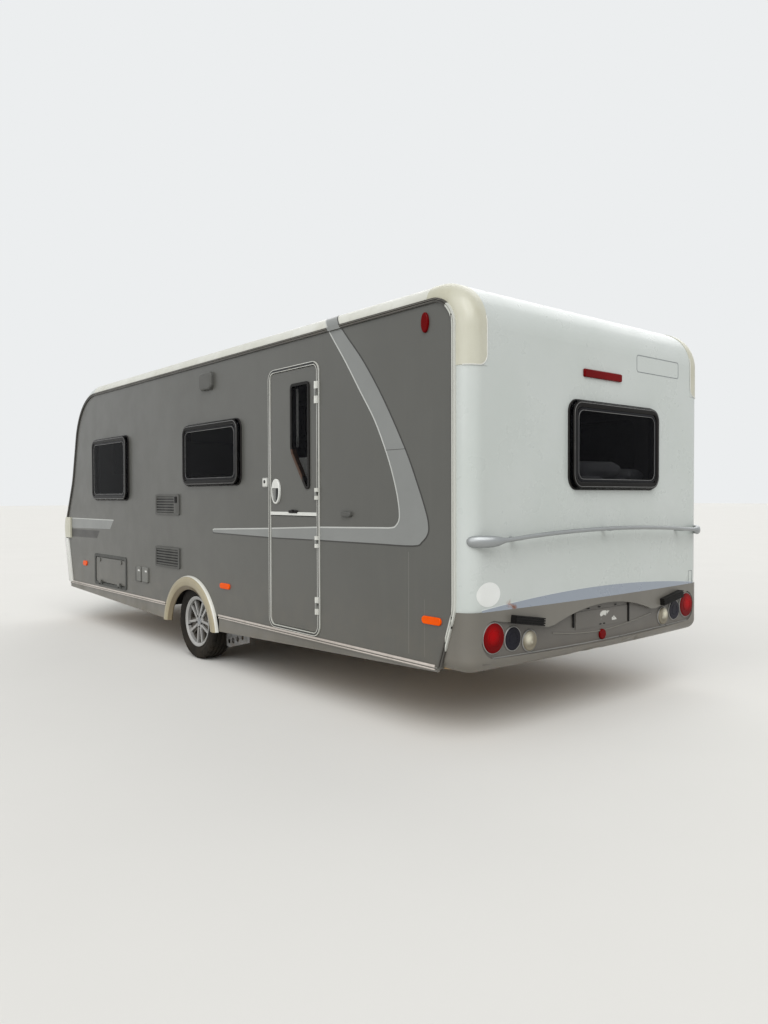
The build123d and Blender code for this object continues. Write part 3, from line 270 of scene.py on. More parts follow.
def alongFrame(tree, middle, halfSize, radius, near, far, depth):
    # a line that runs round inside a frame with rounded corners
    place = axesOf(tree)
    total = 0.0
    for axis, centre, half in zip("XZ", middle, halfSize):
        away = maths(tree, "ABSOLUTE", maths(tree, "SUBTRACT", place[axis], centre))
        away = maths(tree, "MAXIMUM", maths(tree, "SUBTRACT", away, half - radius), 0.0)
        total = maths(tree, "MULTIPLY_ADD", away, away, total)
    reach = maths(tree, "SUBTRACT", radius, maths(tree, "SQRT", total))
    line = inRange(tree, reach, near, far)
    return maths(tree, "MULTIPLY", line, inRange(tree, place["Y"], *depth))


def blotches(tree, low, high, scale, least):
    # ragged patches inside a box
    patch = between(tree, noise(tree, scale, 6), least, least + 0.05)
    return maths(tree, "MULTIPLY", patch, insideBox(tree, low, high))


def paintedGlow(tree, middle, near, far):
    # a painted glow round a point on both sides, full to near and gone at far
    place = axesOf(tree)
    across = maths(tree, "ABSOLUTE", place["Y"])
    reach = maths(tree, "SQRT", farFrom(tree, (place["X"], across, place["Z"]), middle))
    return between(tree, reach, near, far, 1.0, 0.0)


def stain(tree, middle, radius, amount):
    # a soft ragged spot round a point
    inputs = {0: placeOf(tree), 1: middle}
    spot = add(tree, "VectorMath", inputs, operation="DISTANCE").outputs["Value"]
    ragged = maths(tree, "MULTIPLY_ADD", noise(tree, 45, 6), radius, spot)
    return between(tree, ragged, radius * 0.6, radius * 1.25, amount, 0.0)


zoneShapes = {
    "box": insideBox, "oval": insideOval, "ring": insideRing, "corner": outsideCorner,
    "frame": alongFrame, "blotches": blotches, "spot": paintedGlow, "stain": stain,
}


def finish(name, look):
    # paint, moulding, metal or plastic, with cloudy colour, uneven gloss, relief and dirt
    material, tree, sockets = freshMaterial(name)
    cloud = between(tree, noise(tree, look.get("cloudScale", 1.6), 5), 0.32, 0.68)
    colour = mixColours(tree, cloud, look["colour"], look["shade"])
    fleck = between(tree, noise(tree, 240, 2), 0.35, 0.65, 0, look.get("fleck", 0.25))
    colour = mixColours(tree, fleck, colour, look["shade"])
    # zones paint marks of their own, among them painted shade, highlights and reflections
    for shape, painted, *places in look.get("zones", []):
        colour = mixColours(tree, zoneShapes[shape](tree, *places), colour, painted)
    if "streak" in look:
        run = noise(tree, look.get("streakScale", 14), 6, (1, 1, 0.06))
        run = between(tree, run, 0.52, 0.78, 0, look["streakAmount"])
        colour = mixColours(tree, run, colour, look["streak"])
    if "dust" in look:
        height = axesOf(tree)["Z"]
        top, fade = look["dustTop"], look["dustFade"]
        patch = between(tree, noise(tree, 9, 6), 0.3, 0.75, 0.25, 1.0)
        low = between(tree, height, top - fade, top, look["dustAmount"], 0)
        colour = mixColours(tree, maths(tree, "MULTIPLY", low, patch), colour, look["dust"])
    tree.links.new(colour, sockets["Base Color"])
    gloss = between(tree, noise(tree, 5, 6), 0.3, 0.7, *look["roughness"])
    tree.links.new(gloss, sockets["Roughness"])
    waves = noise(tree, look.get("waveScale", 3), 2)
    normal = relief(tree, waves, look.get("wave", 0.05), 0.02)
    grains = noise(tree, look.get("grainScale", 500), 3)
    normal = relief(tree, grains, look.get("grain", 0.08), 0.0006, normal)
    tree.links.new(normal, sockets["Normal"])
    for socket, key, usual in (
        ("Metallic", "metallic", 0.0), ("Coat Weight", "coat", 0.0),
        ("Coat Roughness", "coatRoughness", 0.1), ("Specular IOR Level", "specular", 0.5),
    ):
        sockets[socket].default_value = look.get(key, usual)
    return material


def surface(colour, shade, roughness, **more):
    # main colour and its darker shade in screen values, lowest and highest roughness
    for key in ("streak", "dust"):
        if key in more:
            more[key] = tone(*more[key])
    return {"colour": tone(*colour), "shade": tone(*shade), "roughness": roughness, **more}


def boxZone(colour, low, high):
    # a painted box between two corners, each given as station, Y and height
    return "box", tone(*colour), (at(low[0]), *low[1:]), (at(high[0]), *high[1:])


def wallZone(colour, ends, heights, near=0.0025, far=0.1):
    # a painted box on the left side wall, between two distances off the wall
    low, high = zip(ends, (sideFace + near, sideFace + far), heights)
    return boxZone(colour, low, high)


paintBase = surface(
    (91, 91, 87), (86, 86, 82), (0.34, 0.42), fleck=0.3, cloudScale=0.9, streak=(114, 113, 108),
    streakAmount=0.06, dust=(124, 114, 98), dustTop=0.95, dustFade=0.5, dustAmount=0.16,
    metallic=0.15, coat=0.12, coatRoughness=0.2, wave=0.02, waveScale=1.2, grain=0.04,
    specular=0.4,
)
shellBase = surface(
    (187, 192, 189), (182, 188, 184), (0.26, 0.34), fleck=0.1, streak=(160, 162, 152),
    streakAmount=0.05, coat=0.2, wave=0.02, waveScale=1.1, grain=0.03,
)
creamBase = surface(
    (188, 187, 172), (176, 174, 154), (0.28, 0.42), fleck=0.15, streak=(150, 140, 112),
    streakAmount=0.2, coat=0.15,
)
beigeBase = surface(
    (112, 109, 102), (105, 102, 95), (0.34, 0.48), specular=0.35, fleck=0.2, dust=(124, 112, 94),
    dustTop=0.60, dustFade=0.2, dustAmount=0.25, metallic=0.1, coat=0.1,
)
greyBase = surface(
    (84, 84, 81), (76, 76, 73), (0.4, 0.55), specular=0.25, grain=0.2, streak=(120, 116, 104),
    streakAmount=0.15,
)
alloyBase = surface(
    (176, 177, 176), (160, 160, 158), (0.25, 0.4), metallic=0.25, specular=0.3,
    dust=(120, 104, 84), dustTop=0.7, dustFade=0.6, dustAmount=0.2,
)

finishes = {
    "sidePaint": dict(paintBase, zones=[
        # pale runs left by rain near the rear edge
        wallZone((103, 103, 98), (0.489, 0.496), (0.48, 1.09), -0.01),
        wallZone((100, 100, 95), (0.351, 0.356), (0.48, 0.82), -0.01),
    ]),
    "doorPaint": dict(paintBase, zones=[
        # hinge plates, the upper leaf's foot strip, handle bezel, its recess and paddle
        wallZone((128, 129, 126), (1.40, 1.438), (0.3, 2.4)),
        wallZone((212, 213, 208), (1.42, 2.03), (1.28, 1.312)),
        ("oval", tone(212, 213, 208), (at(1.943), 1.460), (0.058, 0.094),
         (sideFace + 0.0025, sideFace + 0.1)),
        ("oval", tone(104, 105, 102), (at(1.943), 1.460), (0.0437, 0.0797),
         (sideFace + 0.0026, sideFace + 0.0085)),
        wallZone((116, 117, 114), (1.914, 1.972), (1.389, 1.506), 0.0085, 0.0148),
        # painted shade in the pull gap beside the paddle
        wallZone((8, 8, 8), (1.912, 1.941), (1.395, 1.493), 0.0026, 0.0148),
    ]),
    "whiteShell": shellBase,
    "rearShell": dict(shellBase, zones=[
        # painted sky reflection on the sloping ledge at the panel's foot, and rust stains
        boxZone((128, 135, 144), (-0.06, -1.3, 0.76), (-0.0008, 1.3, 0.8365)),
        ("stain", tone(140, 86, 46), (at(-0.018), 0.915, 0.800), 0.045, 0.95),
        ("stain", tone(104, 56, 24), (at(-0.026), 0.885, 0.780), 0.048, 0.95),
        ("stain", tone(126, 96, 66), (at(-0.005), 0.02, 0.842), 0.010, 0.7),
    ]),
    "roofSkin": surface(
        (208, 209, 202), (194, 194, 184), (0.3, 0.5), fleck=0.15, wave=0.06,
        streak=(150, 146, 124), streakAmount=0.2,
    ),
    "agedCream": creamBase,
    # the cream trim darkened to a tan as painted shade
    "shadedArchCream": dict(
        creamBase, colour=tone(160, 151, 126), shade=tone(146, 136, 110),
        zones=[
            # painted shade on the inner band
            ("ring", tone(110, 98, 76), (at(3.353), 0.225), 0.380, 0.4185),
            # painted highlight on the outer lip
            ("ring", tone(206, 206, 198), (at(3.353), 0.225), 0.497, 0.515),
        ],
    ),
    "capCream": dict(
        creamBase, zones=[("corner", tone(187, 192, 189), (1.165, 2.215), 0.065, 2.015)],
    ),
    "greyBeige": beigeBase,
    "bumperGrey": dict(beigeBase, zones=[
        # floor of the lamp recess, darker as painted shade under its visor, and the glue left on it
        boxZone((92, 89, 84), (-0.0052, -1.14, 0.47), (0.02, 1.14, 0.735)),
        ("blotches", tone(196, 196, 190), (at(-0.0052), -0.20, 0.600), (at(0.02), 0.16, 0.672),
         16, 0.585),
    ]),
    "barePly": surface(
        (176, 150, 112), (150, 124, 88), (0.6, 0.8), cloudScale=9, grain=0.4, grainScale=220,
    ),
    "skirtAluminium": surface(
        (122, 120, 115), (108, 106, 100), (0.32, 0.5), dust=(128, 114, 92), dustTop=0.46,
        dustFade=0.2, dustAmount=0.4, metallic=0.4, wave=0.1,
    ),
    "doorFrameTrim": surface(
        (206, 207, 202), (190, 190, 182), (0.25, 0.4), metallic=0.1, streak=(140, 134, 118),
        streakAmount=0.2,
        zones=[
            ("frame", tone(50, 50, 48), (at(1.725), 1.4035), (0.324, 0.9505), 0.075, 0.0055,
             0.0185, (sideFace + 0.0078, sideFace + 0.0095)),
            # painted shadow under the drip moulding over the door
            wallZone((9, 9, 9), (1.46, 1.99), (2.3335, 2.3495), 0.0078, 0.0095),
        ],
    ),
    "railTrim": surface(
        (74, 71, 66), (60, 58, 54), (0.35, 0.5), metallic=0.2, streak=(110, 104, 90),
        streakAmount=0.2,
        zones=[
            boxZone((196, 197, 190), (-1, -2, 0.3), (0.172, 2, 2.505)),
            boxZone((66, 64, 60), (0.1215, -2, 0.3), (0.1265, 2, 2.44)),
            boxZone((128, 124, 114), (0.2, -2, 2.5355), (6.2, 2, 2.5375)),
            boxZone((120, 116, 106), (0.2, -2, 2.5455), (6.2, 2, 2.5475)),
        ],
    ),
    "stripWhite": surface(
        (208, 209, 205), (196, 196, 189), (0.25, 0.4), streak=(150, 144, 128), streakAmount=0.15,
    ),
    "stripPale": surface(
        (198, 190, 182), (176, 168, 160), (0.3, 0.45), streak=(120, 110, 96), streakAmount=0.3,
    ),
    "bandGrey": surface((132, 134, 132), (126, 128, 126), (0.3, 0.4), metallic=0.15, fleck=0.15),
    "bandDark": surface((52, 51, 48), (46, 45, 43), (0.35, 0.45)),
    "bandLight": surface((188, 190, 187), (178, 180, 176), (0.3, 0.4)),
    "galvanised": surface(
        (150, 153, 155), (112, 114, 116), (0.35, 0.6), cloudScale=24, metallic=0.6, wave=0.05,
        dust=(122, 104, 82), dustTop=0.6, dustFade=0.4, dustAmount=0.45,
    ),
    "blackPlastic": surface(
        (17, 16, 16), (25, 24, 23), (0.4, 0.6), grain=0.3, grainScale=900, dust=(80, 72, 60),
        dustTop=0.75, dustFade=0.5, dustAmount=0.08, specular=0.12,
    ),
    "windowFrame": surface((30, 29, 28), (38, 36, 34), (0.18, 0.34), specular=0.12),
    "slantFrame": surface(
        (24, 23, 22), (32, 30, 28), (0.18, 0.34), specular=0.12,
        zones=[wallZone((74, 56, 46), (1.60, 1.80), (1.3, 1.76), -0.1)],
    ),
    "rimBlack": surface((16, 15, 14), (22, 20, 18), (0.12, 0.24), specular=0.08),
    "rimStep": surface((12, 12, 15), (18, 18, 22), (0.15, 0.25), specular=0.08),
    # pale grey for painted highlights along the window frames
    "paintedHighlightGrey": surface((112, 112, 110), (86, 86, 86), (0.2, 0.3), metallic=0.1, specular=0.3),
    "greyPlastic": greyBase,
    "flapFrame": dict(greyBase, colour=tone(66, 67, 64), shade=tone(58, 59, 56)),
    "ventPlasticShadedGaps": dict(
        # painted shade deep in the gaps between the slats
        greyBase, zones=[wallZone((13, 13, 13), (3.57, 4.05), (0.78, 1.44), 0, 0.0042)],
    ),
    "fittingPlastic": dict(greyBase, zones=[
        wallZone((178, 178, 174), (2.0, 2.2), (1.45, 1.62), 0),
        wallZone((110, 110, 106), (4.2, 4.5), (0.60, 0.80), 0),
        wallZone((206, 207, 203), (4.422, 4.468), (0.694, 0.710), 0.0135),
        wallZone((206, 207, 203), (4.256, 4.302), (0.694, 0.710), 0.0135),
    ]),
    "whitePlastic": surface(
        (214, 214, 208), (198, 197, 188), (0.3, 0.45), streak=(150, 146, 128), streakAmount=0.15,
    ),
    "redLens": surface(
        (112, 0, 3), (96, 0, 2), (0.14, 0.26), coat=0.03, grainScale=260, grain=0.25,
        specular=0.05,
        # painted highlight: the lens brighter round a point a little above its middle
        zones=[("spot", tone(156, 1, 6), (bodyRear, 1.062, 0.634), 0.012, 0.080)],
    ),
    "darkLens": surface(
        (16, 15, 22), (26, 25, 36), (0.14, 0.26), coat=0.03, grainScale=260, grain=0.25,
        specular=0.1,
    ),
    "clearLens": surface(
        (122, 115, 98), (104, 97, 80), (0.08, 0.2), coat=0.1, cloudScale=9, grainScale=260,
        grain=0.2, fleck=0.1, specular=0.3,
        zones=[
            # painted reflections in the reflector behind the lens: a bright patch and a brighter
            # dot
            ("spot", tone(216, 212, 192), (bodyRear, 0.752, 0.584), 0.008, 0.052),
            ("spot", tone(226, 224, 206), (bodyRear, 0.722, 0.556), 0.004, 0.020),
        ],
    ),
    "amberLens": surface(
        (246, 98, 0), (222, 76, 0), (0.14, 0.26), coat=0.03, grainScale=300, grain=0.2,
        specular=0.08,
    ),
    "lampRim": surface((150, 149, 146), (128, 127, 123), (0.25, 0.4), metallic=0.3),
    "satinAlloy": alloyBase,
    "railSilver": surface(
        (150, 153, 153), (144, 147, 148), (0.28, 0.34), metallic=0.55, fleck=0.1, wave=0.0,
        grain=0.03,
    ),
    "wheelAlloyShadedDepth": dict(alloyBase, zones=[
        # painted shade in the rim's depth, darker further in
        boxZone((84, 82, 78), (3.0, -1.1665, -1), (3.7, 1.1665, 1)),
        boxZone((20, 18, 16), (3.0, -1.150, -1), (3.7, 1.150, 1)),
    ]),
    "capSilver": surface((168, 170, 172), (140, 142, 144), (0.2, 0.35), metallic=0.6),
    "stickerWhite": surface(
        (222, 224, 222), (210, 212, 208), (0.35, 0.5), streak=(168, 164, 150), streakAmount=0.15,
    ),
    "labelGrey": surface((120, 126, 128), (104, 108, 110), (0.3, 0.45)),
    "tyreRubber": surface(
        (27, 26, 24), (36, 34, 31), (0.65, 0.85), cloudScale=12, grain=0.35, grainScale=420,
        specular=0.12, dust=(96, 82, 64), dustTop=0.5, dustFade=0.5, dustAmount=0.15,
    ),
    "cabinetWood": surface(
        (96, 68, 44), (80, 55, 34), (0.35, 0.5), cloudScale=5, streak=(62, 42, 26),
        streakAmount=0.5, streakScale=40,
    ),
    "blindCloth": surface(
        (34, 34, 36), (28, 28, 30), (0.7, 0.9), cloudScale=20, grain=0.5, grainScale=600,
        specular=0.1,
    ),
    "seatCloth": surface(
        (86, 83, 78), (70, 68, 64), (0.85, 0.95), cloudScale=60, grain=0.8, grainScale=700,
        specular=0.2,
    ),
    "bedCotton": surface(
        (206, 208, 212), (190, 192, 198), (0.85, 0.95), cloudScale=8, grain=0.5, grainScale=900,
        specular=0.2,
    ),
}


def smokedPane():
    # thin smoked acrylic, darker and duller where it is dusty
    material, tree, sockets = freshMaterial("smokedAcrylic")
    film = between(tree, noise(tree, 3, 6), 0.35, 0.75)
    colour = mixColours(tree, film, tone(4, 4, 6), tone(9, 9, 12))
    tree.links.new(colour, sockets["Base Color"])
    tree.links.new(between(tree, film, 0, 1, 0.04, 0.14), sockets["Roughness"])
    tree.links.new(relief(tree, noise(tree, 1.3, 2), 0.10, 0.02), sockets["Normal"])
    sockets["Alpha"].default_value = 0.55
    sockets["Specular IOR Level"].default_value = 0.03
    material.surface_render_method = "BLENDED"
    return material


materials = {name: finish(name, look) for name, look in finishes.items()}
materials["smokedAcrylic"] = smokedPane()

slotFinishes = {
    "side_skin": "sidePaint", "white_moulding": "whiteShell", "cream_moulding": "agedCream",
    "grey_moulding": "greyBeige", "roof_skin": "roofSkin", "sandwich_board": "barePly",
    "aluminium_trim": "skirtAluminium", "galvanised_steel": "galvanised",
    "dark_plastic": "blackPlastic", "window_plastic": "windowFrame",
    "smoked_acrylic": "smokedAcrylic", "grey_plastic": "greyPlastic",
    "white_plastic": "whitePlastic", "red_lens": "redLens", "dark_lens": "darkLens",
    "clear_lens": "clearLens", "amber_lens": "amberLens", "alloy": "satinAlloy",
    "tyre": "tyreRubber", "cabinet_wood": "cabinetWood", "upholstery": "seatCloth",
    "bedding": "bedCotton",
}
nodeFinishes = {
    # nodes that have zones of their own
    "awning_rails": "railTrim", "door_frame": "doorFrameTrim", "door_upper_leaf": "doorPaint",
    "door_lower_leaf": "doorPaint", "rear_panel": "rearShell", "rear_bumper": "bumperGrey",
    "service_door_frame": "flapFrame", "door_window_frame": "slantFrame",
    "rear_rail": "railSilver", "arch_trims": "shadedArchCream", "corner_mouldings": "capCream",
    "louvre_vents": "ventPlasticShadedGaps", "wall_fittings": "fittingPlastic",
    "left_rim": "wheelAlloyShadedDepth", "right_rim": "wheelAlloyShadedDepth",
}


def dressNodes():
    for row in frame["record"]["subparts"]:
        name = row["node"]
        finishName = nodeFinishes.get(name, slotFinishes[row["material_slot"]])
        piece = shown[name]
        piece.data.materials.clear()
        piece.data.materials.append(materials[finishName])


dressNodes()
show("finishes laid on")


# Ways of working shared by the pieces

def start(kind, scale=(1, 1, 1), **settings):
    # a primitive at its size and place, with its mesh open and all of it selected
    bpy.ops.object.select_all(action="DESELECT")
    getattr(bpy.ops.mesh, "primitive_" + kind + "_add")(**settings)
    piece = bpy.context.object
    piece.scale = scale
    bpy.ops.object.transform_apply(location=True, rotation=True, scale=True)
    bpy.ops.object.mode_set(mode="EDIT")
    bpy.ops.mesh.select_mode(type="VERT")
    bpy.ops.mesh.select_all(action="SELECT")
    return piece


def choose(piece, kind, test):
    # selects the faces, edges or points whose middle passes the test
    bpy.ops.mesh.select_mode(type=kind)
    bpy.ops.mesh.select_all(action="DESELECT")
    mesh = bmesh.from_edit_mesh(piece.data)
    parts = {"FACE": mesh.faces, "EDGE": mesh.edges, "VERT": mesh.verts}[kind]
    parts.ensure_lookup_table()
    for part in parts:
        points = [part.co] if kind == "VERT" else [corner.co for corner in part.verts]
        if test(sum(points, Vector()) / len(points)):
            part.select_set(True)
    mesh.select_flush_mode()
    bmesh.update_edit_mesh(piece.data)


def pick(piece):
    bpy.ops.object.select_all(action="DESELECT")
    piece.select_set(True)
    bpy.context.view_layer.objects.active = piece


def closeMesh():
    # turns all faces outwards and leaves the open mesh
    bpy.ops.mesh.select_all(action="SELECT")
    bpy.ops.mesh.normals_make_consistent(inside=False)
    bpy.ops.object.mode_set(mode="OBJECT")


def done(piece, name, material, body="caravan", smooth=35):
    # closes the mesh, gives the piece its name and finish, and lets it ride on its body
    if bpy.context.mode == "EDIT_MESH":
        closeMesh()
    piece.name = name
    piece.data.materials.clear()
    piece.data.materials.append(materials[material])
    pick(piece)
    bpy.ops.object.shade_smooth_by_angle(angle=math.radians(smooth))
    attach(piece, body)
    return piece


def otherSide(piece, name, body="caravan"):
    # a copy with its own mesh, mirrored to the other side of the caravan
    pick(piece)
    bpy.ops.object.duplicate()
    twin = bpy.context.object
    twin.scale = (1, -1, 1)
    bpy.ops.object.transform_apply(location=False, rotation=False, scale=True)
    bpy.ops.object.mode_set(mode="EDIT")
    closeMesh()
    twin.name = name
    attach(twin, body)
    return twin


def pair(piece, name, material, mark="", bodies=("caravan", "caravan"), smooth=35):
    # the piece on the left side and its twin on the right one
    left = done(piece, name + "Left" + mark, material, bodies[0], smooth)
    return left, otherSide(left, name + "Right" + mark, bodies[1])


def reshape(piece, kind, **values):
    # runs one modifier on the piece
    modifier = piece.modifiers.new("step", kind)
    for key, value in values.items():
        setattr(modifier, key, value)
    bpy.ops.object.modifier_apply(modifier="step")


def extend(move):
    # draws the selected faces or edges out by move
    bpy.ops.mesh.extrude_region_move(TRANSFORM_OT_translate={"value": move})


def drawLine(points):
    # an open line drawn point by point
    piece = start("plane", size=0.01, location=points[0])
    bpy.ops.mesh.merge(type="CENTER")
    for previous, point in zip(points, points[1:]):
        move = Vector(point) - Vector(previous)
        bpy.ops.mesh.extrude_vertices_move(TRANSFORM_OT_translate={"value": move})
    bpy.ops.mesh.select_all(action="SELECT")
    return piece


def traced(points, out, edge=0.0):
    # an outline, filled and drawn out into a thin slab
    piece = drawLine(points)
    bpy.ops.mesh.edge_face_add()
    drawOut(piece, Vector(out), edge)
    return piece


def drawOut(piece, out, edge):
    # thickens the open flat face along out, and rounds the rim of its far side
    points = [vertex.co for vertex in bmesh.from_edit_mesh(piece.data).verts]
    flat = sum(points, Vector()) / len(points)
    bpy.ops.mesh.select_all(action="SELECT")
    extend(out)
    if edge:
        far = out.normalized()
        choose(piece, "FACE", lambda middle: (middle - flat - out).dot(far) > -out.length * 0.01)
        bpy.ops.mesh.region_to_loop()
        bpy.ops.mesh.bevel(offset=edge, segments=2, affect="EDGES")


facings = {
    # turn of a flat piece, the way that it then faces, and whether its height lies along its X
    "left": ((-math.pi / 2, 0, 0), (0, 1, 0), False),
    "rear": ((0, -math.pi / 2, 0), (-1, 0, 0), True),
}


def plate(facing, middle, width, height, radius, out, border=0.0, edge=0.0):
    # a plate with rounded corners, or a ring of that outline where it has a border
    turn, outward, upright = facings[facing]
    size = (height, width, 1) if upright else (width, height, 1)
    piece = start("plane", size=1, location=middle, rotation=turn, scale=size)
    bpy.ops.mesh.bevel(offset=radius, segments=6, affect="VERTICES")
    if border:
        bpy.ops.mesh.select_mode(type="FACE")
        bpy.ops.mesh.select_all(action="SELECT")
        bpy.ops.mesh.inset(thickness=border, depth=0)
        bpy.ops.mesh.delete(type="FACE")
    drawOut(piece, Vector(outward) * out, edge)
    return piece


def button(facing, middle, radius, out, edge, sides=32):
    # a round knob, drawn out of a disc, with its rim rounded
    turn, outward, _ = facings[facing]
    piece = start(
        "circle", vertices=sides, radius=radius, fill_type="NGON", location=middle, rotation=turn,
    )
    drawOut(piece, Vector(outward) * out, edge)
    return piece


def slab(low, high, edge, segments=2):
    # a box between two corners, with its edges rounded
    low, high = Vector(low), Vector(high)
    piece = start("cube", size=1, location=(low + high) / 2, scale=high - low)
    bpy.ops.mesh.bevel(offset=edge, segments=segments, affect="EDGES")
    return piece


def eased(points, steps):
    # the same open line with rounder turns
    line = []
    for index in range(len(points) - 1):
        before = Vector(points[max(index - 1, 0)])
        first, second = Vector(points[index]), Vector(points[index + 1])
        after = Vector(points[min(index + 2, len(points) - 1)])
        for step in range(steps):
            part = step / steps
            bend = (second - before) * part
            bend += (before * 2 - first * 5 + second * 4 - after) * part ** 2
            bend += (first * 3 - before - second * 3 + after) * part ** 3
            line.append(first + bend / 2)
    line.append(Vector(points[-1]))
    return line


def strip(line, width):
    # outline of a stripe of even width that follows the line, in the plane of the side wall
    left, right = [], []
    for index, point in enumerate(line):
        ahead = line[min(index + 1, len(line) - 1)] - line[max(index - 1, 0)]
        across = Vector((-ahead.z, 0, ahead.x)).normalized() * width / 2
        left.append(point + across)
        right.append(point - across)
    return left + right[::-1]


def onSide(points, out=0.0):
    # station and height pairs laid on the left side wall
    return [Vector((at(station), sideFace + out, height)) for station, height in points]


def toSide(piece, side):
    # leaves the piece on the left side, or takes it over to the right one
    if side < 0:
        otherSide(piece, piece.name + "Right")
        bpy.data.objects.remove(piece)


# Grey bands on the left side, the front ones on the right side too

swoopBand = {
    "outer": [
        (1.146, 2.526), (1.063, 2.437), (0.909, 2.272), (0.719, 2.021), (0.521, 1.709),
        (0.414, 1.500), (0.344, 1.345), (0.318, 1.262), (0.323, 1.203), (0.371, 1.154),
        (0.450, 1.126), (0.833, 1.123), (1.400, 1.120),
    ],
    "inner": [
        (1.284, 2.526), (1.234, 2.463), (1.101, 2.297), (0.952, 2.095), (0.809, 1.902),
        (0.701, 1.706), (0.634, 1.553), (0.587, 1.404), (0.574, 1.293), (0.607, 1.243),
        (0.655, 1.229), (0.800, 1.225), (1.400, 1.211),
    ],
    "ahead": [(2.050, 1.184), (2.920, 1.153), (2.939, 1.145), (2.939, 1.128), (2.926, 1.121),
              (2.050, 1.115)],
    "leaf": [(1.432, 1.210), (2.018, 1.186), (2.018, 1.115), (1.432, 1.120)],
    "leafFace": 0.032,      # how far the lower leaf's face lies from its box's near side
    "film": 0.0006,
    "line": 0.009,
    "joint": [(0.519, 1.706), (0.700, 1.706)],
    "onRail": [(1.146, 2.527), (1.284, 2.527), (1.304, 2.5545), (1.171, 2.5545)],
    # the rounded edge of the roof: radius, distance in from the side, height of its middle
    "roofEdge": (0.1078, 0.107, 2.540),
    "turns": range(8, 88, 10),      # degrees up from level
    "advance": 0.09,                # how far the band leans ahead for every radian
    # name, finish, stations from and to, lift over the roof
    "onRoof": [
        ("swoopBandOnRoof", "bandGrey", 1.171, 1.304, 0.0),
        ("roofLineOuter", "bandDark", 1.167, 1.177, 0.0007),
        ("roofLineInner", "bandLight", 1.299, 1.309, 0.0007),
    ],
}
frontBands = {
    "light": [(6.400, 1.172), (5.128, 1.174), (5.214, 1.083), (6.326, 1.064), (6.400, 1.066)],
    "dark": [(5.523, 1.056), (5.600, 0.973), (6.400, 0.963), (6.400, 1.050)],
    "edge": [(6.400, 1.177), (5.120, 1.179)],
    "film": 0.0006,
    "line": 0.009,
}


def laySwoop(band):
    outward, line = Vector((0, band["film"], 0)), band["line"]
    outer, inner = eased(onSide(band["outer"]), 4), eased(onSide(band["inner"]), 4)
    ahead = onSide(band["ahead"])
    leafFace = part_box("door_lower_leaf")[0][1] + band["leafFace"]
    leaf = [Vector((point.x, leafFace, point.z)) for point in onSide(band["leaf"])]
    films = (
        # name, points, width where they are the middle of a line, finish, body
        ("swoopBand", outer + inner[::-1], 0, "bandGrey", "caravan"),
        ("swoopBandAhead", ahead, 0, "bandGrey", "caravan"),
        ("swoopLineOuter", outer, line, "bandDark", "caravan"),
        ("swoopLineInner", inner, line, "bandLight", "caravan"),
        ("aheadLineUpper", ahead[:3], line, "bandLight", "caravan"),
        ("aheadLineLower", ahead[3:], line, "bandDark", "caravan"),
        ("swoopJoint", onSide(band["joint"]), line / 3, "bandDark", "caravan"),
        ("swoopBandOnDoor", leaf, 0, "bandGrey", "lower_door"),
        ("doorBandLineUpper", leaf[:2], line, "bandLight", "lower_door"),
        ("doorBandLineLower", leaf[2:], line, "bandDark", "lower_door"),
    )
    for name, points, width, material, body in films:
        if width:
            points = strip([point + outward for point in points], width)
        done(traced(points, outward), name, material, body)


def layRoofBand(band):
    # the band goes on over the rail and round the edge of the roof
    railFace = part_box("awning_rails")[1][1]
    over = [Vector((at(station), railFace, height)) for station, height in band["onRail"]]
    done(traced(over, (0, band["film"], 0)), "swoopBandOnRail", "bandGrey")
    radius, inward, middleZ = band["roofEdge"]
    turns = [math.radians(turn) for turn in band["turns"]]
    for name, material, rearEnd, frontEnd, lift in band["onRoof"]:
        rows = [
            Vector((
                band["advance"] * (turn - turns[0]),
                sideFace - inward + (radius + lift) * math.cos(turn),
                middleZ + (radius + lift) * math.sin(turn),
            ))
            for turn in turns
        ]
        piece = drawLine([rows[0] + Vector((at(end), 0, 0)) for end in (rearEnd, frontEnd)])
        for previous, row in zip(rows, rows[1:]):
            extend(row - previous)
        done(piece, name, material, smooth=60)


def layFrontBands(bands):
    outward = (0, bands["film"], 0)
    drawn = [point + Vector(outward) for point in onSide(bands["edge"])]
    shapes = (
        ("frontBandLight", onSide(bands["light"]), "bandGrey"),
        ("frontBandDark", onSide(bands["dark"]), "bandDark"),
        ("frontBandEdge", strip(drawn, bands["line"]), "bandLight"),
    )
    for name, points, material in shapes:
        left = done(traced(points, outward), name, material)
        otherSide(left, name + "Right")


laySwoop(swoopBand)
layRoofBand(swoopBand)
layFrontBands(frontBands)
show("bands laid on the side")


# White strip over the rail at the lower front corner, and pale strips along the skirts

frontStrip = {
    "outline": [(6.500, 0.940), (6.362, 0.436), (6.470, 0.436), (6.606, 0.940)],
    "foot": 0.0003,     # off the wall
    "out": 0.017,
    "edge": 0.003,
}
skirtStrips = {
    "runs": [("Rear", 0.262, 2.842), ("Front", 3.866, 6.440)],
    "rows": [("Upper", 0.442, 0.007), ("Lower", 0.424, 0.004)],   # middle, half height
    "out": (0.0, 0.0095),
    "edge": 0.0015,
}


def layFrontStrip(values):
    face = onSide(values["outline"], values["foot"])
    pair(traced(face, (0, values["out"], 0), values["edge"]), "frontStrip", "stripWhite")


def laySkirtStrips(values):
    low, high = values["out"]
    for run, rearEnd, frontEnd in values["runs"]:
        for row, height, half in values["rows"]:
            piece = slab(
                (at(rearEnd), sideFace + low, height - half),
                (at(frontEnd), sideFace + high, height + half), values["edge"],
            )
            pair(piece, "skirtStrip" + run + row, "stripPale")


layFrontStrip(frontStrip)
laySkirtStrips(skirtStrips)
show("strips laid")


# Windows: raised rims on the panes, catches and blinds behind them

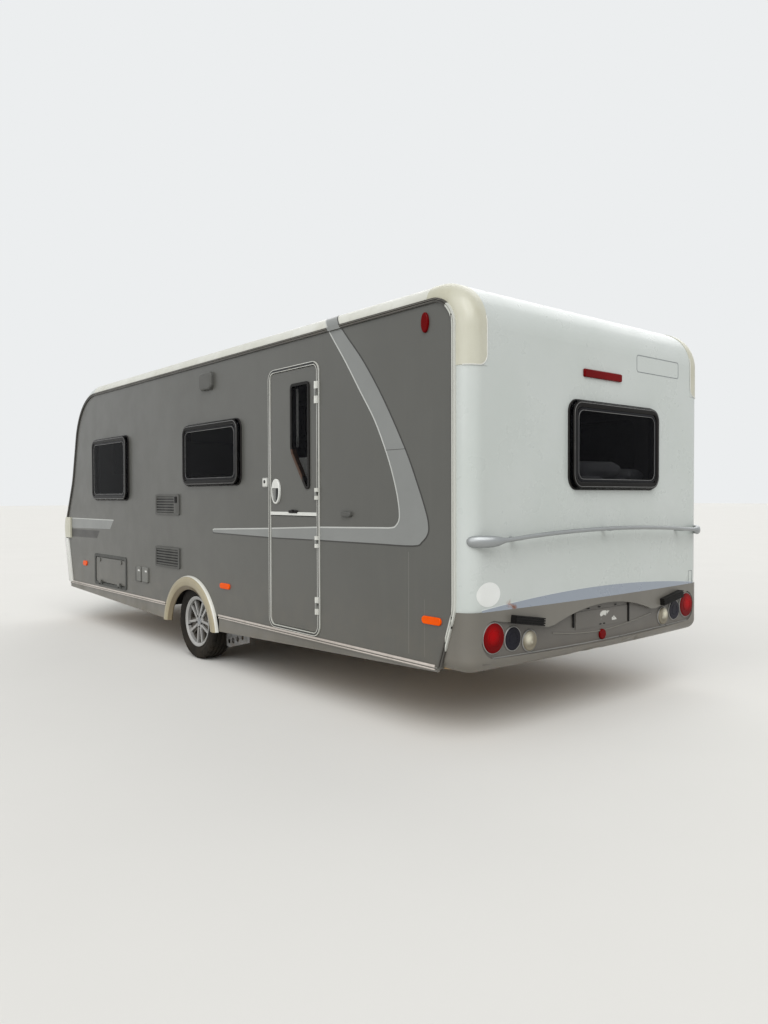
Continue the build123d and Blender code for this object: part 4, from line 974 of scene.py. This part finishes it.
windowLook = {
    # side, rear station, front station, sill, head
    "sides": [
        (1, 2.452, 3.446, 1.509, 2.048), (1, 4.688, 5.651, 1.383, 2.048),
        (-1, 0.520, 1.120, 1.509, 2.048), (-1, 2.452, 3.446, 1.509, 2.048),
        (-1, 4.688, 5.651, 1.383, 2.048),
    ],
    "rear": (-0.640, 0.364, 1.457, 2.028),
    "corner": 0.086,
    "paneFace": 0.032,        # how far the panes' faces stand off the wall
    # kind of ring, distance in from the frame's edge, width, thickness, finish
    "rings": [
        ("Rim", 0.013, 0.038, 0.006, "rimBlack"),
        # the bead and the line stand proud; their pale colour is a painted highlight on the frame's
        # edges
        ("Bead", 0.020, 0.0045, 0.0078, "paintedHighlightGrey"),
        ("Step", 0.051, 0.016, 0.0016, "rimStep"),
        ("Line", 0.067, 0.0045, 0.0024, "paintedHighlightGrey"),
    ],
    # width, height, distance from the pane's end, foot over the sill, depths in from the wall,
    # edge
    "catch": (0.052, 0.020, 0.16, 0.066, 0.020, 0.006, 0.004),
    "pleat": 0.020,
    "cloth": 0.0012,
    "blind": (0.020, 0.026, 0.031),     # inset from the pane, depths in from the wall
    # station, depth, Y from and to, foot, head
    "frontBlind": (6.248, 0.006, -0.800, 0.800, 1.700, 2.125),
}


def rimsOn(facing, middle, width, height, name, rings, corner, mark=""):
    made = []
    for kind, inset, border, out, material in rings:
        ring = plate(
            facing, middle, width - 2 * inset, height - 2 * inset, corner - inset * 0.5, out,
            border=border, edge=min(out * 0.9, border * 0.4),
        )
        made.append(done(ring, name + kind + mark, material, smooth=50))
    return made


def trimWindows(look):
    rings, corner = look["rings"], look["corner"]
    for number, (side, rearEnd, frontEnd, sill, head) in enumerate(look["sides"], 1):
        middle = (at((rearEnd + frontEnd) / 2), sideFace + look["paneFace"], (sill + head) / 2)
        for ring in rimsOn("left", middle, frontEnd - rearEnd, head - sill, "sideWindow",
                           rings, corner, str(number)):
            toSide(ring, side)
    low, high, sill, head = look["rear"]
    middle = (bodyRear - look["paneFace"], (low + high) / 2, (sill + head) / 2)
    rimsOn("rear", middle, high - low, head - sill, "rearWindow", rings, corner)


def addCatches(look):
    # small black catches low behind each side pane
    wide, tall, fromEnd, overSill, deep, shallow, edge = look["catch"]
    for number, (side, rearEnd, frontEnd, sill, head) in enumerate(look["sides"], 1):
        for end, station in (("a", rearEnd + fromEnd), ("b", frontEnd - fromEnd)):
            piece = slab(
                (at(station) - wide / 2, sideFace - deep, sill + overSill),
                (at(station) + wide / 2, sideFace - shallow, sill + overSill + tall), edge,
            )
            toSide(done(piece, "windowCatch" + str(number) + end, "blackPlastic"), side)


def pleated(low, high, across, look):
    # a pleated blind: a zigzag from foot to head, drawn out along its width
    pleat, points = look["pleat"], []
    for step in range(int((high.z - low.z) / pleat) + 1):
        corner = (low, high)[step % 2]
        points.append(Vector((corner.x, corner.y, low.z + step * pleat)))
    thick = Vector((0, 0, look["cloth"]))
    return traced(points + [point + thick for point in points[::-1]], across)


def drawBlinds(look):
    # the far side's blinds and the front one are drawn, dark sheets that stand in for the shade
    # inside
    inset, near, far = look["blind"]
    farSide = [row[1:] for row in look["sides"] if row[0] < 0]
    for number, (rearEnd, frontEnd, sill, head) in enumerate(farSide, 1):
        low = Vector((at(rearEnd + inset), near - sideFace, sill + inset))
        high = Vector((at(rearEnd + inset), far - sideFace, head - inset))
        across = (frontEnd - rearEnd - 2 * inset, 0, 0)
        done(pleated(low, high, across, look), "blindRight" + str(number), "blindCloth")
    station, depth, near, far, foot, head = look["frontBlind"]
    low = Vector((at(station) - depth, near, foot))
    high = Vector((at(station), near, head))
    done(pleated(low, high, (0, far - near, 0), look), "blindFront", "blindCloth")


trimWindows(windowLook)
addCatches(windowLook)
drawBlinds(windowLook)
show("window rims, catches and blinds made")


# Entry door and upper vent: catch of the split leaves, lock, vent latch and the door's blind

doorTrim = {
    # name, station, height, width, height, corner, foot off the wall, thickness, edge, finish,
    # body
    "plates": [
        ("splitCatch", 1.716, 1.313, 0.110, 0.020, 0.009, 0.0025, 0.014, 0.003,
         "blackPlastic", "upper_door"),
        ("lockPlateFace", 2.101, 1.528, 0.056, 0.056, 0.006, 0.0092, 0.0016, 0.0008,
         "stripWhite", "caravan"),
        ("ventEndPlate", 3.617, 1.3505, 0.078, 0.152, 0.006, 0.003, 0.0095, 0.002,
         "greyPlastic", "caravan"),
        ("ventLatchPlate", 3.614, 1.396, 0.050, 0.056, 0.006, 0.0120, 0.005, 0.002,
         "blackPlastic", "caravan"),
    ],
    # name, stations from and to, distances off the wall, foot, head, edge, finish, body
    "blocks": [
        ("splitCatchThumb", 1.704, 1.728, 0.0105, 0.0225, 1.309, 1.329, 0.003,
         "blackPlastic", "upper_door"),
        ("lockSlot", 2.0998, 2.1022, 0.0132, 0.0140, 1.527, 1.541, 0.0003,
         "satinAlloy", "caravan"),
        ("doorBlind1", 1.697, 1.727, -0.032, -0.026, 1.775, 2.195, 0.002,
         "stickerWhite", "upper_door"),
        ("doorBlind2", 1.557, 1.707, -0.032, -0.026, 1.480, 1.700, 0.002,
         "stickerWhite", "upper_door"),
    ],
    # station, height, radius, foot off the wall, thickness, edge
    "barrel": (2.101, 1.534, 0.0125, 0.0106, 0.003, 0.001),
}


def trimDoor(trim):
    for name, station, height, wide, tall, corner, foot, out, edge, *rest in trim["plates"]:
        middle = (at(station), sideFace + foot, height)
        done(plate("left", middle, wide, tall, corner, out, edge=edge), name, *rest)
    for name, rearEnd, frontEnd, near, far, foot, head, edge, *rest in trim["blocks"]:
        low = (at(rearEnd), sideFace + near, foot)
        done(slab(low, (at(frontEnd), sideFace + far, head), edge), name, *rest)
    station, height, radius, foot, out, edge = trim["barrel"]
    piece = button("left", (at(station), sideFace + foot, height), radius, out, edge)
    done(piece, "lockBarrel", "blackPlastic")


trimDoor(doorTrim)
show("door trim made")


# Rear bumper: crease, a lip line of painted highlight, bars, slots and lamp rims in its recess

bumperTrim = {
    "crease": [
        (-0.584, 0.600), (-0.316, 0.566), (0.0, 0.544), (0.286, 0.557), (0.517, 0.584),
    ],
    "creaseHalf": 0.004,
    "bars": [(0.310, 0.594, 0.684), (-0.300, 0.572, 0.700)],    # Y, foot, head
    "slots": [(0.030, 0.700), (-0.020, 0.588), (0.020, 0.588), (0.150, 0.700), (-0.150, 0.700)],
    "bar": (0.013, 0.005, 0.008, 0.003),        # width, corner, thickness, edge
    "slot": (0.022, 0.008, 0.0035, 0.0016),     # width, height, corner, thickness
    "lip": [(-1.060, 0.503), (-0.700, 0.4925), (0.0, 0.4825), (0.700, 0.4925), (1.060, 0.503)],
    "lipHalf": 0.0035,
    "stand": {"crease": 0.005, "lip": 0.010, "bar": 0.003, "slot": 0.0035},
    # name, distance of the middle from the caravan's, height, radius, length of the lens, finish
    "lamps": [
        ("redLamp", 1.050, 0.616, 0.086, 0.012, "redLens"),
        ("darkLamp", 0.885, 0.594, 0.068, 0.010, "darkLens"),
        ("clearLamp", 0.734, 0.565, 0.061, 0.014, "clearLens"),
    ],
    # thickness, radius over the lens's, how far its middle and its cut back stand off the panel
    "rim": (0.0048, 0.0015, 0.002, -0.0005),
    "ring": (0.0016, 0.52),     # thickness, radius as part of the lens's
}


def ridgeAcross(points, half, out):
    # a ridge laid on the recess floor, its ends let into it
    line = eased([Vector((bodyRear, y, height)) for y, height in points], 4)
    upper = [point + Vector((0, 0, half)) for point in line]
    lower = [point - Vector((0, 0, half)) for point in line]
    return traced(upper + lower[::-1], (-out, 0, 0), out * 0.45)


def trimBumper(trim):
    stand = trim["stand"]
    piece = ridgeAcross(trim["crease"], trim["creaseHalf"], stand["crease"])
    done(piece, "bumperCrease", "greyBeige")
    # a low ridge along the lower lip, pale as a painted highlight on its edge
    done(ridgeAcross(trim["lip"], trim["lipHalf"], stand["lip"]), "bumperLipHighlight", "lampRim")
    wide, corner, thick, edge = trim["bar"]
    for number, (y, foot, head) in enumerate(trim["bars"], 1):
        middle = (bodyRear - stand["bar"], y, (foot + head) / 2)
        piece = plate("rear", middle, wide, head - foot, corner, thick, edge=edge)
        done(piece, "plateBar" + str(number), "blackPlastic")
    for number, (y, height) in enumerate(trim["slots"], 1):
        piece = plate("rear", (bodyRear - stand["slot"], y, height), *trim["slot"])
        done(piece, "plateSlot" + str(number), "blackPlastic")


def hoop(middle, radius, thick, around, about):
    # a round ring that faces back
    return start(
        "torus", major_segments=around, minor_segments=about, major_radius=radius,
        minor_radius=thick, location=middle, rotation=(0, math.pi / 2, 0),
    )


def rimLamps(trim):
    # a slim rim round every lens, and a moulded ring on its face
    thick, over, stand, back = trim["rim"]
    ringThick, part = trim["ring"]
    for name, y, height, radius, length, lens in trim["lamps"]:
        piece = hoop((bodyRear - stand, y, height), radius + over, thick, 48, 10)
        choose(piece, "VERT", lambda point: point.x > bodyRear - back)
        bpy.ops.mesh.delete(type="VERT")
        pair(piece, name + "Rim", "lampRim")
        piece = hoop((bodyRear - length, y, height), radius * part, ringThick, 40, 8)
        pair(piece, name + "Ring", lens)


trimBumper(bumperTrim)
rimLamps(bumperTrim)
show("rear bumper trimmed")


# Rear rail: a slim tube that swells into a rounded grip round each corner, on three stays

rail = {
    "tube": [0.0, 0.2, 0.4, 0.6, 0.8],      # distances from the middle plane
    "tubeStation": -0.076,
    "tubeHalf": (0.017, 0.013),
    "middleHeight": 1.212,
    "drop": 0.0351,     # metres, times the distance squared
    # distance from the middle plane, station, height, half depth, half height
    "grip": [
        (0.980, -0.0765, 1.1765, 0.0165, 0.013), (1.030, -0.0765, 1.174, 0.0165, 0.014),
        (1.060, -0.0755, 1.172, 0.0180, 0.020), (1.084, -0.0710, 1.170, 0.0195, 0.027),
        (1.112, -0.0600, 1.169, 0.0205, 0.032), (1.150, -0.0380, 1.168, 0.0210, 0.034),
        (1.185, -0.0100, 1.168, 0.0210, 0.034), (1.206, 0.0140, 1.168, 0.0195, 0.031),
        (1.217, 0.0290, 1.168, 0.0145, 0.024), (1.222, 0.0380, 1.168, 0.0080, 0.013),
    ],
    "sides": 24,
    "stays": [0.900, 0.0, -0.900],
    # half width, reach below and above the tube's middle, reach back, edge
    "stay": (0.015, 0.016, 0.004, 0.078, 0.003),
}


def railHeight(look, y):
    return look["middleHeight"] - look["drop"] * y * y


def drawRail(look):
    rings = [
        (Vector((at(look["tubeStation"]), y, railHeight(look, y))), *look["tubeHalf"])
        for y in look["tube"]
    ]
    rings += [
        (Vector((at(station), y, height)), deep, tall)
        for y, station, height, deep, tall in look["grip"]
    ]
    middle, deep, tall = rings[0]
    piece = start(
        "circle", vertices=look["sides"], radius=1, fill_type="NGON", location=middle,
        rotation=(math.pi / 2, 0, 0), scale=(deep, tall, 1),
    )
    heading = 0.0
    for index in range(1, len(rings)):
        goal, nextDeep, nextTall = rings[index]
        extend(goal - middle)
        depth, height = nextDeep / deep, nextTall / tall
        bpy.ops.transform.resize(value=(depth, depth, height), center_override=goal)
        ahead = rings[min(index + 1, len(rings) - 1)][0] - rings[index - 1][0]
        turn = math.atan2(ahead.x, ahead.y)
        bpy.ops.transform.rotate(value=turn - heading, orient_axis="Z", center_override=goal)
        middle, deep, tall, heading = goal, nextDeep, nextTall, turn
    for half in pair(piece, "rearRail", "railSilver", smooth=60):
        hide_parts("rear_rail")


def setStays(look):
    half, below, above, back, edge = look["stay"]
    for number, y in enumerate(look["stays"], 1):
        height = railHeight(look, y)
        low = (bodyRear - back, y - half, height - below)
        piece = slab(low, (bodyRear, y + half, height + above), edge)
        done(piece, "rearRailStay" + str(number), "railSilver")
        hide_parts("rear_rail")


drawRail(rail)
setStays(rail)
show("rear rail drawn")


# Blank stickers and plates on the rear panel

rearBlanks = {
    # Y, height, half width, half height, distance off the skin, thickness
    "oval": (1.085, 0.866, 0.095, 0.070, 0.0012, 0.0008),
    # name, Y, height, width, height, corner, thickness, width of the line
    "outlines": [
        ("uprightLabelOutline", -1.118, 0.815, 0.052, 0.100, 0.004, 0.0008, 0.004),
        ("nameplateOutline", -0.668, 2.3235, 0.540, 0.118, 0.022, 0.0010, 0.0045),
    ],
}
clearBehind = 0.05      # where flat pieces start, behind the rear panel


def projectOn(piece, node, offset):
    # lays the piece's points on a CAD node, moving them along X
    reshape(
        piece, "SHRINKWRAP", target=shown[node], wrap_method="PROJECT", use_project_x=True,
        use_project_y=False, use_project_z=False, use_positive_direction=True,
        use_negative_direction=True, offset=offset,
    )


def addBlanks(blanks):
    y, height, halfWide, halfTall, off, thick = blanks["oval"]
    piece = start(
        "circle", vertices=48, radius=1, fill_type="TRIFAN",
        location=(bodyRear - clearBehind, y, height), rotation=(0, -math.pi / 2, 0),
        scale=(halfTall, halfWide, 1),
    )
    bpy.ops.mesh.subdivide(number_cuts=5)
    bpy.ops.object.mode_set(mode="OBJECT")
    projectOn(piece, "rear_panel", off)
    reshape(piece, "SOLIDIFY", thickness=thick)
    done(piece, "ovalStickerBlank", "stickerWhite", smooth=60)
    for name, y, height, wide, tall, corner, thick, line in blanks["outlines"]:
        piece = plate("rear", (bodyRear, y, height), wide, tall, corner, thick, border=line)
        done(piece, name, "labelGrey")


capBead = {
    # distances from the middle plane and heights, metres
    "edge": 1.100, "foot": 2.150, "end": 1.240, "head": 2.430, "radius": 0.065, "thick": 0.0032,
    "off": 0.0004,
}


def beadCaps(look):
    # a slim white bead round the lower inner corner of each cream corner cap
    edge, foot, radius = look["edge"], look["foot"], look["radius"]
    line = [(edge, look["head"] - step * (look["head"] - foot - radius) / 8) for step in range(8)]
    for step in range(9):
        angle = step * math.pi / 16
        line.append((edge + radius * (1 - math.cos(angle)), foot + radius * (1 - math.sin(angle))))
    reach = look["end"] - edge - radius
    line += [(edge + radius + step * reach / 8, foot) for step in range(1, 9)]
    piece = drawLine([(bodyRear - clearBehind, y, height) for y, height in line])
    bpy.ops.object.mode_set(mode="OBJECT")
    projectOn(piece, "corner_mouldings", look["off"])
    bpy.ops.object.convert(target="CURVE")
    piece = bpy.context.object
    piece.data.bevel_depth = look["thick"]
    piece.data.bevel_resolution = 2
    piece.data.use_fill_caps = True
    bpy.ops.object.convert(target="MESH")
    pair(bpy.context.object, "capBead", "stripWhite", smooth=60)


addBlanks(rearBlanks)
beadCaps(capBead)
show("blank plates, stickers and cap beads laid")


# Wheels: treaded tyres, wheel bolts, hub caps and valves

wheelLook = {
    "station": 3.337,
    "track": 1.115,
    "radius": 0.326,
    "steps": 84,
    # distance from the middle plane, distance from the wheel's axis, outside then inside
    "section": [
        (0.076, 0.203), (0.080, 0.212), (0.0815, 0.226), (0.0905, 0.240), (0.0985, 0.254),
        (0.1020, 0.266), (0.1022, 0.275), (0.1010, 0.276), (0.1012, 0.284), (0.1024, 0.285),
        (0.1012, 0.295), (0.0975, 0.305), (0.0930, 0.312), (0.0880, 0.3182), (0.0800, 0.3230),
        (0.0620, 0.3246), (0.0600, 0.3246), (0.0580, 0.3170), (0.0500, 0.3170),
        (0.0480, 0.3252), (0.0240, 0.3256), (0.0220, 0.3175), (0.0140, 0.3175),
        (0.0120, 0.3258), (0.0, 0.3258),
    ],
    # distances from the tyre's middle plane, and the least one from the axis
    "sipeBand": (0.0500, 0.0960, 0.310),
    "sipeDepth": 0.0045,
    "hubFace": 0.062,
    # count, distance from the axis, radius, foot from the hub's face, length, edge, first turn
    "bolts": (5, 0.050, 0.0095, -0.004, 0.011, 0.002, 20),
    # radius, foot from the hub's face, length, edge, width and depth of the dish's rim
    "cap": (0.032, -0.010, 0.014, 0.004, 0.006, 0.002),
    # distance from the axis, foot from the wheel's middle, radius, length, edge, turn
    "valve": (0.186, 0.040, 0.0045, 0.042, 0.0015, -16),
}
wheelBodies = ("left_wheel", "right_wheel")


def turnTyre(look):
    # half the tyre's section drawn, mirrored, and spun about the axle
    axleX, axleZ = at(look["station"]), look["radius"]
    half = look["section"]
    whole = half + [(-out, reach) for out, reach in half[-2::-1]]
    piece = drawLine([(axleX, look["track"] + out, axleZ + reach) for out, reach in whole])
    bpy.ops.mesh.spin(
        steps=look["steps"], angle=2 * math.pi, center=(axleX, look["track"], axleZ),
        axis=(0, 1, 0),
    )
    bpy.ops.mesh.select_all(action="SELECT")
    bpy.ops.mesh.remove_doubles(threshold=0.0002)
    bpy.ops.mesh.normals_make_consistent(inside=False)
    near, far, foot = look["sipeBand"]
    turn = 2 * math.pi / look["steps"]

    def inSipe(middle):
        # every third step across both shoulders
        out = abs(middle.y - look["track"])
        reach = math.hypot(middle.x - axleX, middle.z - axleZ)
        step = math.floor(math.atan2(middle.z - axleZ, middle.x - axleX) / turn + 100)
        return near < out < far and reach > foot and step % 3 == 0

    choose(piece, "FACE", inSipe)
    bpy.ops.mesh.extrude_region_shrink_fatten(
        TRANSFORM_OT_shrink_fatten={"value": -look["sipeDepth"]}
    )
    left = done(piece, "leftTreadedTyre", "tyreRubber", "left_wheel", 40)
    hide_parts("left_tyre")
    right = otherSide(left, "rightTreadedTyre", "right_wheel")
    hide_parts("right_tyre")


def dressHub(look):
    axleX, axleZ = at(look["station"]), look["radius"]

    def knob(reach, degrees, foot, radius, long, edge, sides):
        # a knob at a distance from the axis, standing out from foot
        turn = math.radians(degrees)
        place = (axleX + reach * math.cos(turn), foot, axleZ + reach * math.sin(turn))
        return button("left", place, radius, long, edge, sides)

    face = look["track"] + look["hubFace"]
    count, reach, radius, foot, long, edge, first = look["bolts"]
    for number in range(count):
        degrees = 360 * (number + 0.5) / count + first
        piece = knob(reach, degrees, face + foot, radius, long, edge, 6)
        pair(piece, "wheelBolt", "blackPlastic", str(number + 1), wheelBodies)
    radius, foot, long, edge, rim, depth = look["cap"]
    piece = knob(0, 0, face + foot, radius, long, edge, 32)
    choose(piece, "FACE", lambda middle: middle.y > face + foot + long - 0.0005)
    bpy.ops.mesh.inset(thickness=rim, depth=-depth)
    pair(piece, "hubCap", "capSilver", bodies=wheelBodies)
    reach, foot, radius, long, edge, degrees = look["valve"]
    piece = knob(reach, degrees, look["track"] + foot, radius, long, edge, 16)
    pair(piece, "valve", "blackPlastic", bodies=wheelBodies)


turnTyre(wheelLook)
dressHub(wheelLook)
show("wheels dressed")


# Front: rings on the sloping pane, grab handles, position lamps and lid locks

frontLook = {
    "windowMiddle": (6.3569, 0.0, 1.915),       # on the skin
    "windowSize": (1.520, 0.380),
    "lean": 1.3109,                             # turn of the pane's plane about Y
    "paneFace": 0.032,
    # Y, height of the middle, length, thickness, distance off the skin, edge
    "grips": (0.985, 1.300, 0.190, 0.024, 0.034, 0.009),
    # width, height, reach behind and ahead of the skin, edge
    "gripFoot": (0.032, 0.040, 0.004, 0.044, 0.006),
    "lamps": (1.070, 0.560),                    # Y, height
    # name, width, height, reach behind and ahead of the skin, edge, its segments, finish
    "lampParts": [
        ("frontLampBase", 0.092, 0.058, 0.006, 0.010, 0.004, 2, "whitePlastic"),
        ("frontLampLens", 0.080, 0.046, -0.006, 0.020, 0.006, 3, "clearLens"),
    ],
    "locks": [(-0.700, 0.640), (0.700, 0.640)],
    "lock": (0.030, 0.012, 0.014, 0.004),       # radius, foot off the skin, thickness, edge
    # width, height, reach behind and ahead of the skin, edge
    "thumb": (0.012, 0.048, -0.010, 0.018, 0.002),
}


def skinAt(y, height):
    # the outermost front skin at a place seen from ahead
    reach = []
    for name in ("front_panel", "front_lower_panel", "gas_locker_lid"):
        hit, place, _, _ = shown[name].ray_cast((12, y, height), (-1, 0, 0))
        if hit:
            reach.append(place.x)
    return max(reach)


def blockAhead(y, height, wide, tall, back, front, edge, segments=2):
    # a rounded block, seen from ahead, between two places along X
    low = (back, y - wide / 2, height - tall / 2)
    return slab(low, (front, y + wide / 2, height + tall / 2), edge, segments)


def ringPane(look):
    lean = look["lean"]
    outward = Vector((math.sin(lean), 0, math.cos(lean)))
    facings["nose"] = ((0, lean, 0), tuple(outward), True)
    station, y, height = look["windowMiddle"]
    middle = Vector((at(station), y, height)) + outward * look["paneFace"]
    rimsOn("nose", middle, *look["windowSize"], "frontWindow", windowLook["rings"][:2],
           windowLook["corner"])


def trimFront(look):
    y, height, long, thick, off, edge = look["grips"]
    face = skinAt(y, height)
    near = face + off
    piece = blockAhead(y, height, thick, long, near, near + thick, edge, 3)
    pair(piece, "frontGrip", "blackPlastic")
    wide, tall, behind, ahead, edge = look["gripFoot"]
    for end, place in (("Foot", height - (long - tall) / 2), ("Head", height + (long - tall) / 2)):
        back = skinAt(y, place) - behind
        piece = blockAhead(y, place, wide, tall, back, face + ahead, edge)
        pair(piece, "frontGrip" + end, "blackPlastic")
    y, height = look["lamps"]
    face = skinAt(y, height)
    for name, wide, tall, behind, ahead, edge, segments, material in look["lampParts"]:
        back, front = face - behind, face + ahead
        pair(blockAhead(y, height, wide, tall, back, front, edge, segments), name, material)
    radius, foot, out, roundEdge = look["lock"]
    wide, tall, behind, ahead, edge = look["thumb"]
    for number, (y, height) in enumerate(look["locks"], 1):
        face = skinAt(y, height)
        piece = button("rear", (face + foot, y, height), radius, out, roundEdge)
        done(piece, "lidLock" + str(number), "blackPlastic", "gas_lid")
        piece = blockAhead(y, height, wide, tall, face - behind, face + ahead, edge)
        done(piece, "lidLockThumb" + str(number), "greyPlastic", "gas_lid")


ringPane(frontLook)
trimFront(frontLook)
show("front trimmed")


# Inside: padded beds, seats and pillows

padding = {
    # name, CAD node, low corner, high corner (as station, Y and height), slackness
    "pads": [
        ("lowerMattress", "mattresses", (0.092, -1.190, 0.8703), (0.940, 1.190, 0.9403), 0.7),
        ("upperMattress", "mattresses", (0.060, -1.190, 1.3563), (0.940, 1.190, 1.4263), 0.7),
        ("frontSeatPad", "seat_cushions", (5.580, -0.528, 0.8803), (6.079, 0.528, 1.0003), 0.8),
        ("frontBackPad", "seat_cushions", (5.950, -0.528, 1.0016), (6.079, 0.528, 1.370), 0.8),
        ("rearSeatPad", "seat_cushions", (4.650, 0.529, 0.8803), (5.360, 1.217, 1.0003), 0.8),
        ("foreSeatPad", "seat_cushions", (5.368, 0.529, 0.8803), (6.079, 1.217, 1.0003), 0.8),
        ("rearBackPad", "seat_cushions", (4.650, 1.088, 1.0016), (5.295, 1.217, 1.370), 0.8),
        ("foreBackPad", "seat_cushions", (5.303, 1.088, 1.0016), (5.949, 1.217, 1.370), 0.8),
    ],
    "round": 0.022,
    "grid": 0.018,
    "less": 0.007,        # how far a pad starts inside its own box
    "reach": 0.0075,      # the furthest that a point of it swells
    # name, middle, size, turn
    "pillows": [
        ("pillowLeft", (0.270, -0.115, 1.492), (0.335, 0.315, 0.074), 0.10),
        ("pillowRight", (0.265, -0.535, 1.488), (0.335, 0.325, 0.066), -0.12),
        ("pillowTop", (0.265, -0.210, 1.600), (0.300, 0.400, 0.060), 0.24),
        ("pillowOuter", (0.255, -0.590, 1.566), (0.280, 0.300, 0.040), -0.20),
    ],
    "pillowGrid": 0.012,
    "pillowReach": 0.026,
    "pillowFill": 0.55,
    "pillowRound": 0.42,      # part of the thickness
    "pressure": 4.0,
    "stretch": 12,
    "bend": 0.4,
    "lastFrame": 20,
}


def stuff(piece, grid, look):
    # an even grid of points, as a cloth skin round a soft filling with no weight
    bpy.ops.object.mode_set(mode="OBJECT")
    reshape(piece, "REMESH", mode="VOXEL", voxel_size=grid)
    cloth = piece.modifiers.new("filling", "CLOTH").settings
    cloth.quality = 4
    cloth.use_pressure = True
    cloth.uniform_pressure_force = look["pressure"]
    cloth.effector_weights.gravity = 0
    cloth.tension_stiffness = look["stretch"]
    cloth.bending_stiffness = look["bend"]


def swell(pieces, look):
    # runs all the fillings together, holds each point near where it was, and smooths
    before = {piece: [point.co.copy() for point in piece.data.vertices] for piece in pieces}
    for tick in range(1, look["lastFrame"] + 1):
        bpy.context.scene.frame_set(tick)
    for piece, reach in pieces.items():
        pick(piece)
        if "filling" in piece.modifiers:
            bpy.ops.object.modifier_apply(modifier="filling")
        for point, old in zip(piece.data.vertices, before[piece]):
            move = point.co - old
            if move.length > reach:
                point.co = old + move.normalized() * reach
        reshape(piece, "SUBSURF", levels=1)
    bpy.context.scene.frame_set(1)


def placed(point):
    # a point given as station, Y and height
    return Vector((at(point[0]), *point[1:]))


def makePads(look):
    pads = {}
    less = Vector([look["less"]] * 3)
    for name, node, low, high, fill in look["pads"]:
        piece = slab(placed(low) + less, placed(high) - less, look["round"], 3)
        stuff(piece, look["grid"], look)
        pads[piece] = (name, node, fill, look["reach"])
    for name, middle, size, turn in look["pillows"]:
        middle, half = placed(middle), Vector(size) / 2
        piece = slab(middle - half, middle + half, size[2] * look["pillowRound"], 3)
        bpy.ops.transform.rotate(value=turn, orient_axis="Z", center_override=middle)
        stuff(piece, look["pillowGrid"], look)
        pads[piece] = (name, "mattresses", look["pillowFill"], look["pillowReach"])
    swell({piece: facts[3] for piece, facts in pads.items()}, look)
    for piece, (name, node, fill, _) in pads.items():
        made = [done(piece, name, "bedCotton" if node == "mattresses" else "seatCloth", smooth=60)]
        if name.startswith(("rear", "fore")):
            made.append(otherSide(piece, name + "Right"))
        for pad in made:
            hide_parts(node)


makePads(padding)
show("beds and seats padded")


# Inside: cupboard and kitchen fronts with their handles, and the worktop

joinery = {
    # rear station, front station, foot, head of each front on the kitchen's aisle side
    "kitchenFronts": [
        (3.575, 4.050, 0.520, 1.110), (4.070, 4.545, 0.520, 1.110),
        (3.575, 4.050, 1.130, 1.350), (4.070, 4.545, 1.130, 1.350),
    ],
    "kitchenFace": 0.640,
    "cupboardFronts": [
        (4.655, 4.955, 2.150, 2.470), (4.970, 5.270, 2.150, 2.470), (5.285, 5.585, 2.150, 2.470),
    ],
    "cupboardFace": 0.868,
    "thick": 0.015,
    "gap": 0.0005,              # between carcass and front
    "handle": (0.110, 0.010, 0.022, 0.045),     # length, height, depth, distance from the head
    "edge": 0.003,
    # rear station, front station, Y from and to, foot, head, edge
    "worktop": (3.550, 4.570, 0.622, 1.205, 1.3805, 1.402, 0.005),
}


def frontWithHandle(name, row, face, look):
    # face is the carcass's; the front stands out from it towards the middle of the caravan
    rearEnd, frontEnd, foot, head = row
    near, edge = face - look["thick"], look["edge"]
    piece = slab((at(rearEnd), near, foot), (at(frontEnd), face - look["gap"], head), edge)
    front = done(piece, name, "cabinetWood")
    long, thin, depth, drop = look["handle"]
    middle, height = at((rearEnd + frontEnd) / 2), head - drop
    low = (middle - long / 2, near - depth, height - thin / 2)
    piece = slab(low, (middle + long / 2, near, height + thin / 2), edge)
    return front, done(piece, name + "Handle", "satinAlloy")


def fitFronts(look):
    for number, row in enumerate(look["kitchenFronts"], 1):
        frontWithHandle("kitchenFront" + str(number), row, look["kitchenFace"], look)
    for number, row in enumerate(look["cupboardFronts"], 1):
        name = "cupboardFront" + str(number)
        for piece in frontWithHandle(name, row, look["cupboardFace"], look):
            otherSide(piece, piece.name + "Right")
    rearEnd, frontEnd, near, far, foot, head, edge = look["worktop"]
    piece = slab((at(rearEnd), near, foot), (at(frontEnd), far, head), edge)
    done(piece, "kitchenWorktop", "greyPlastic")


fitFronts(joinery)
show("cupboard fronts fitted")
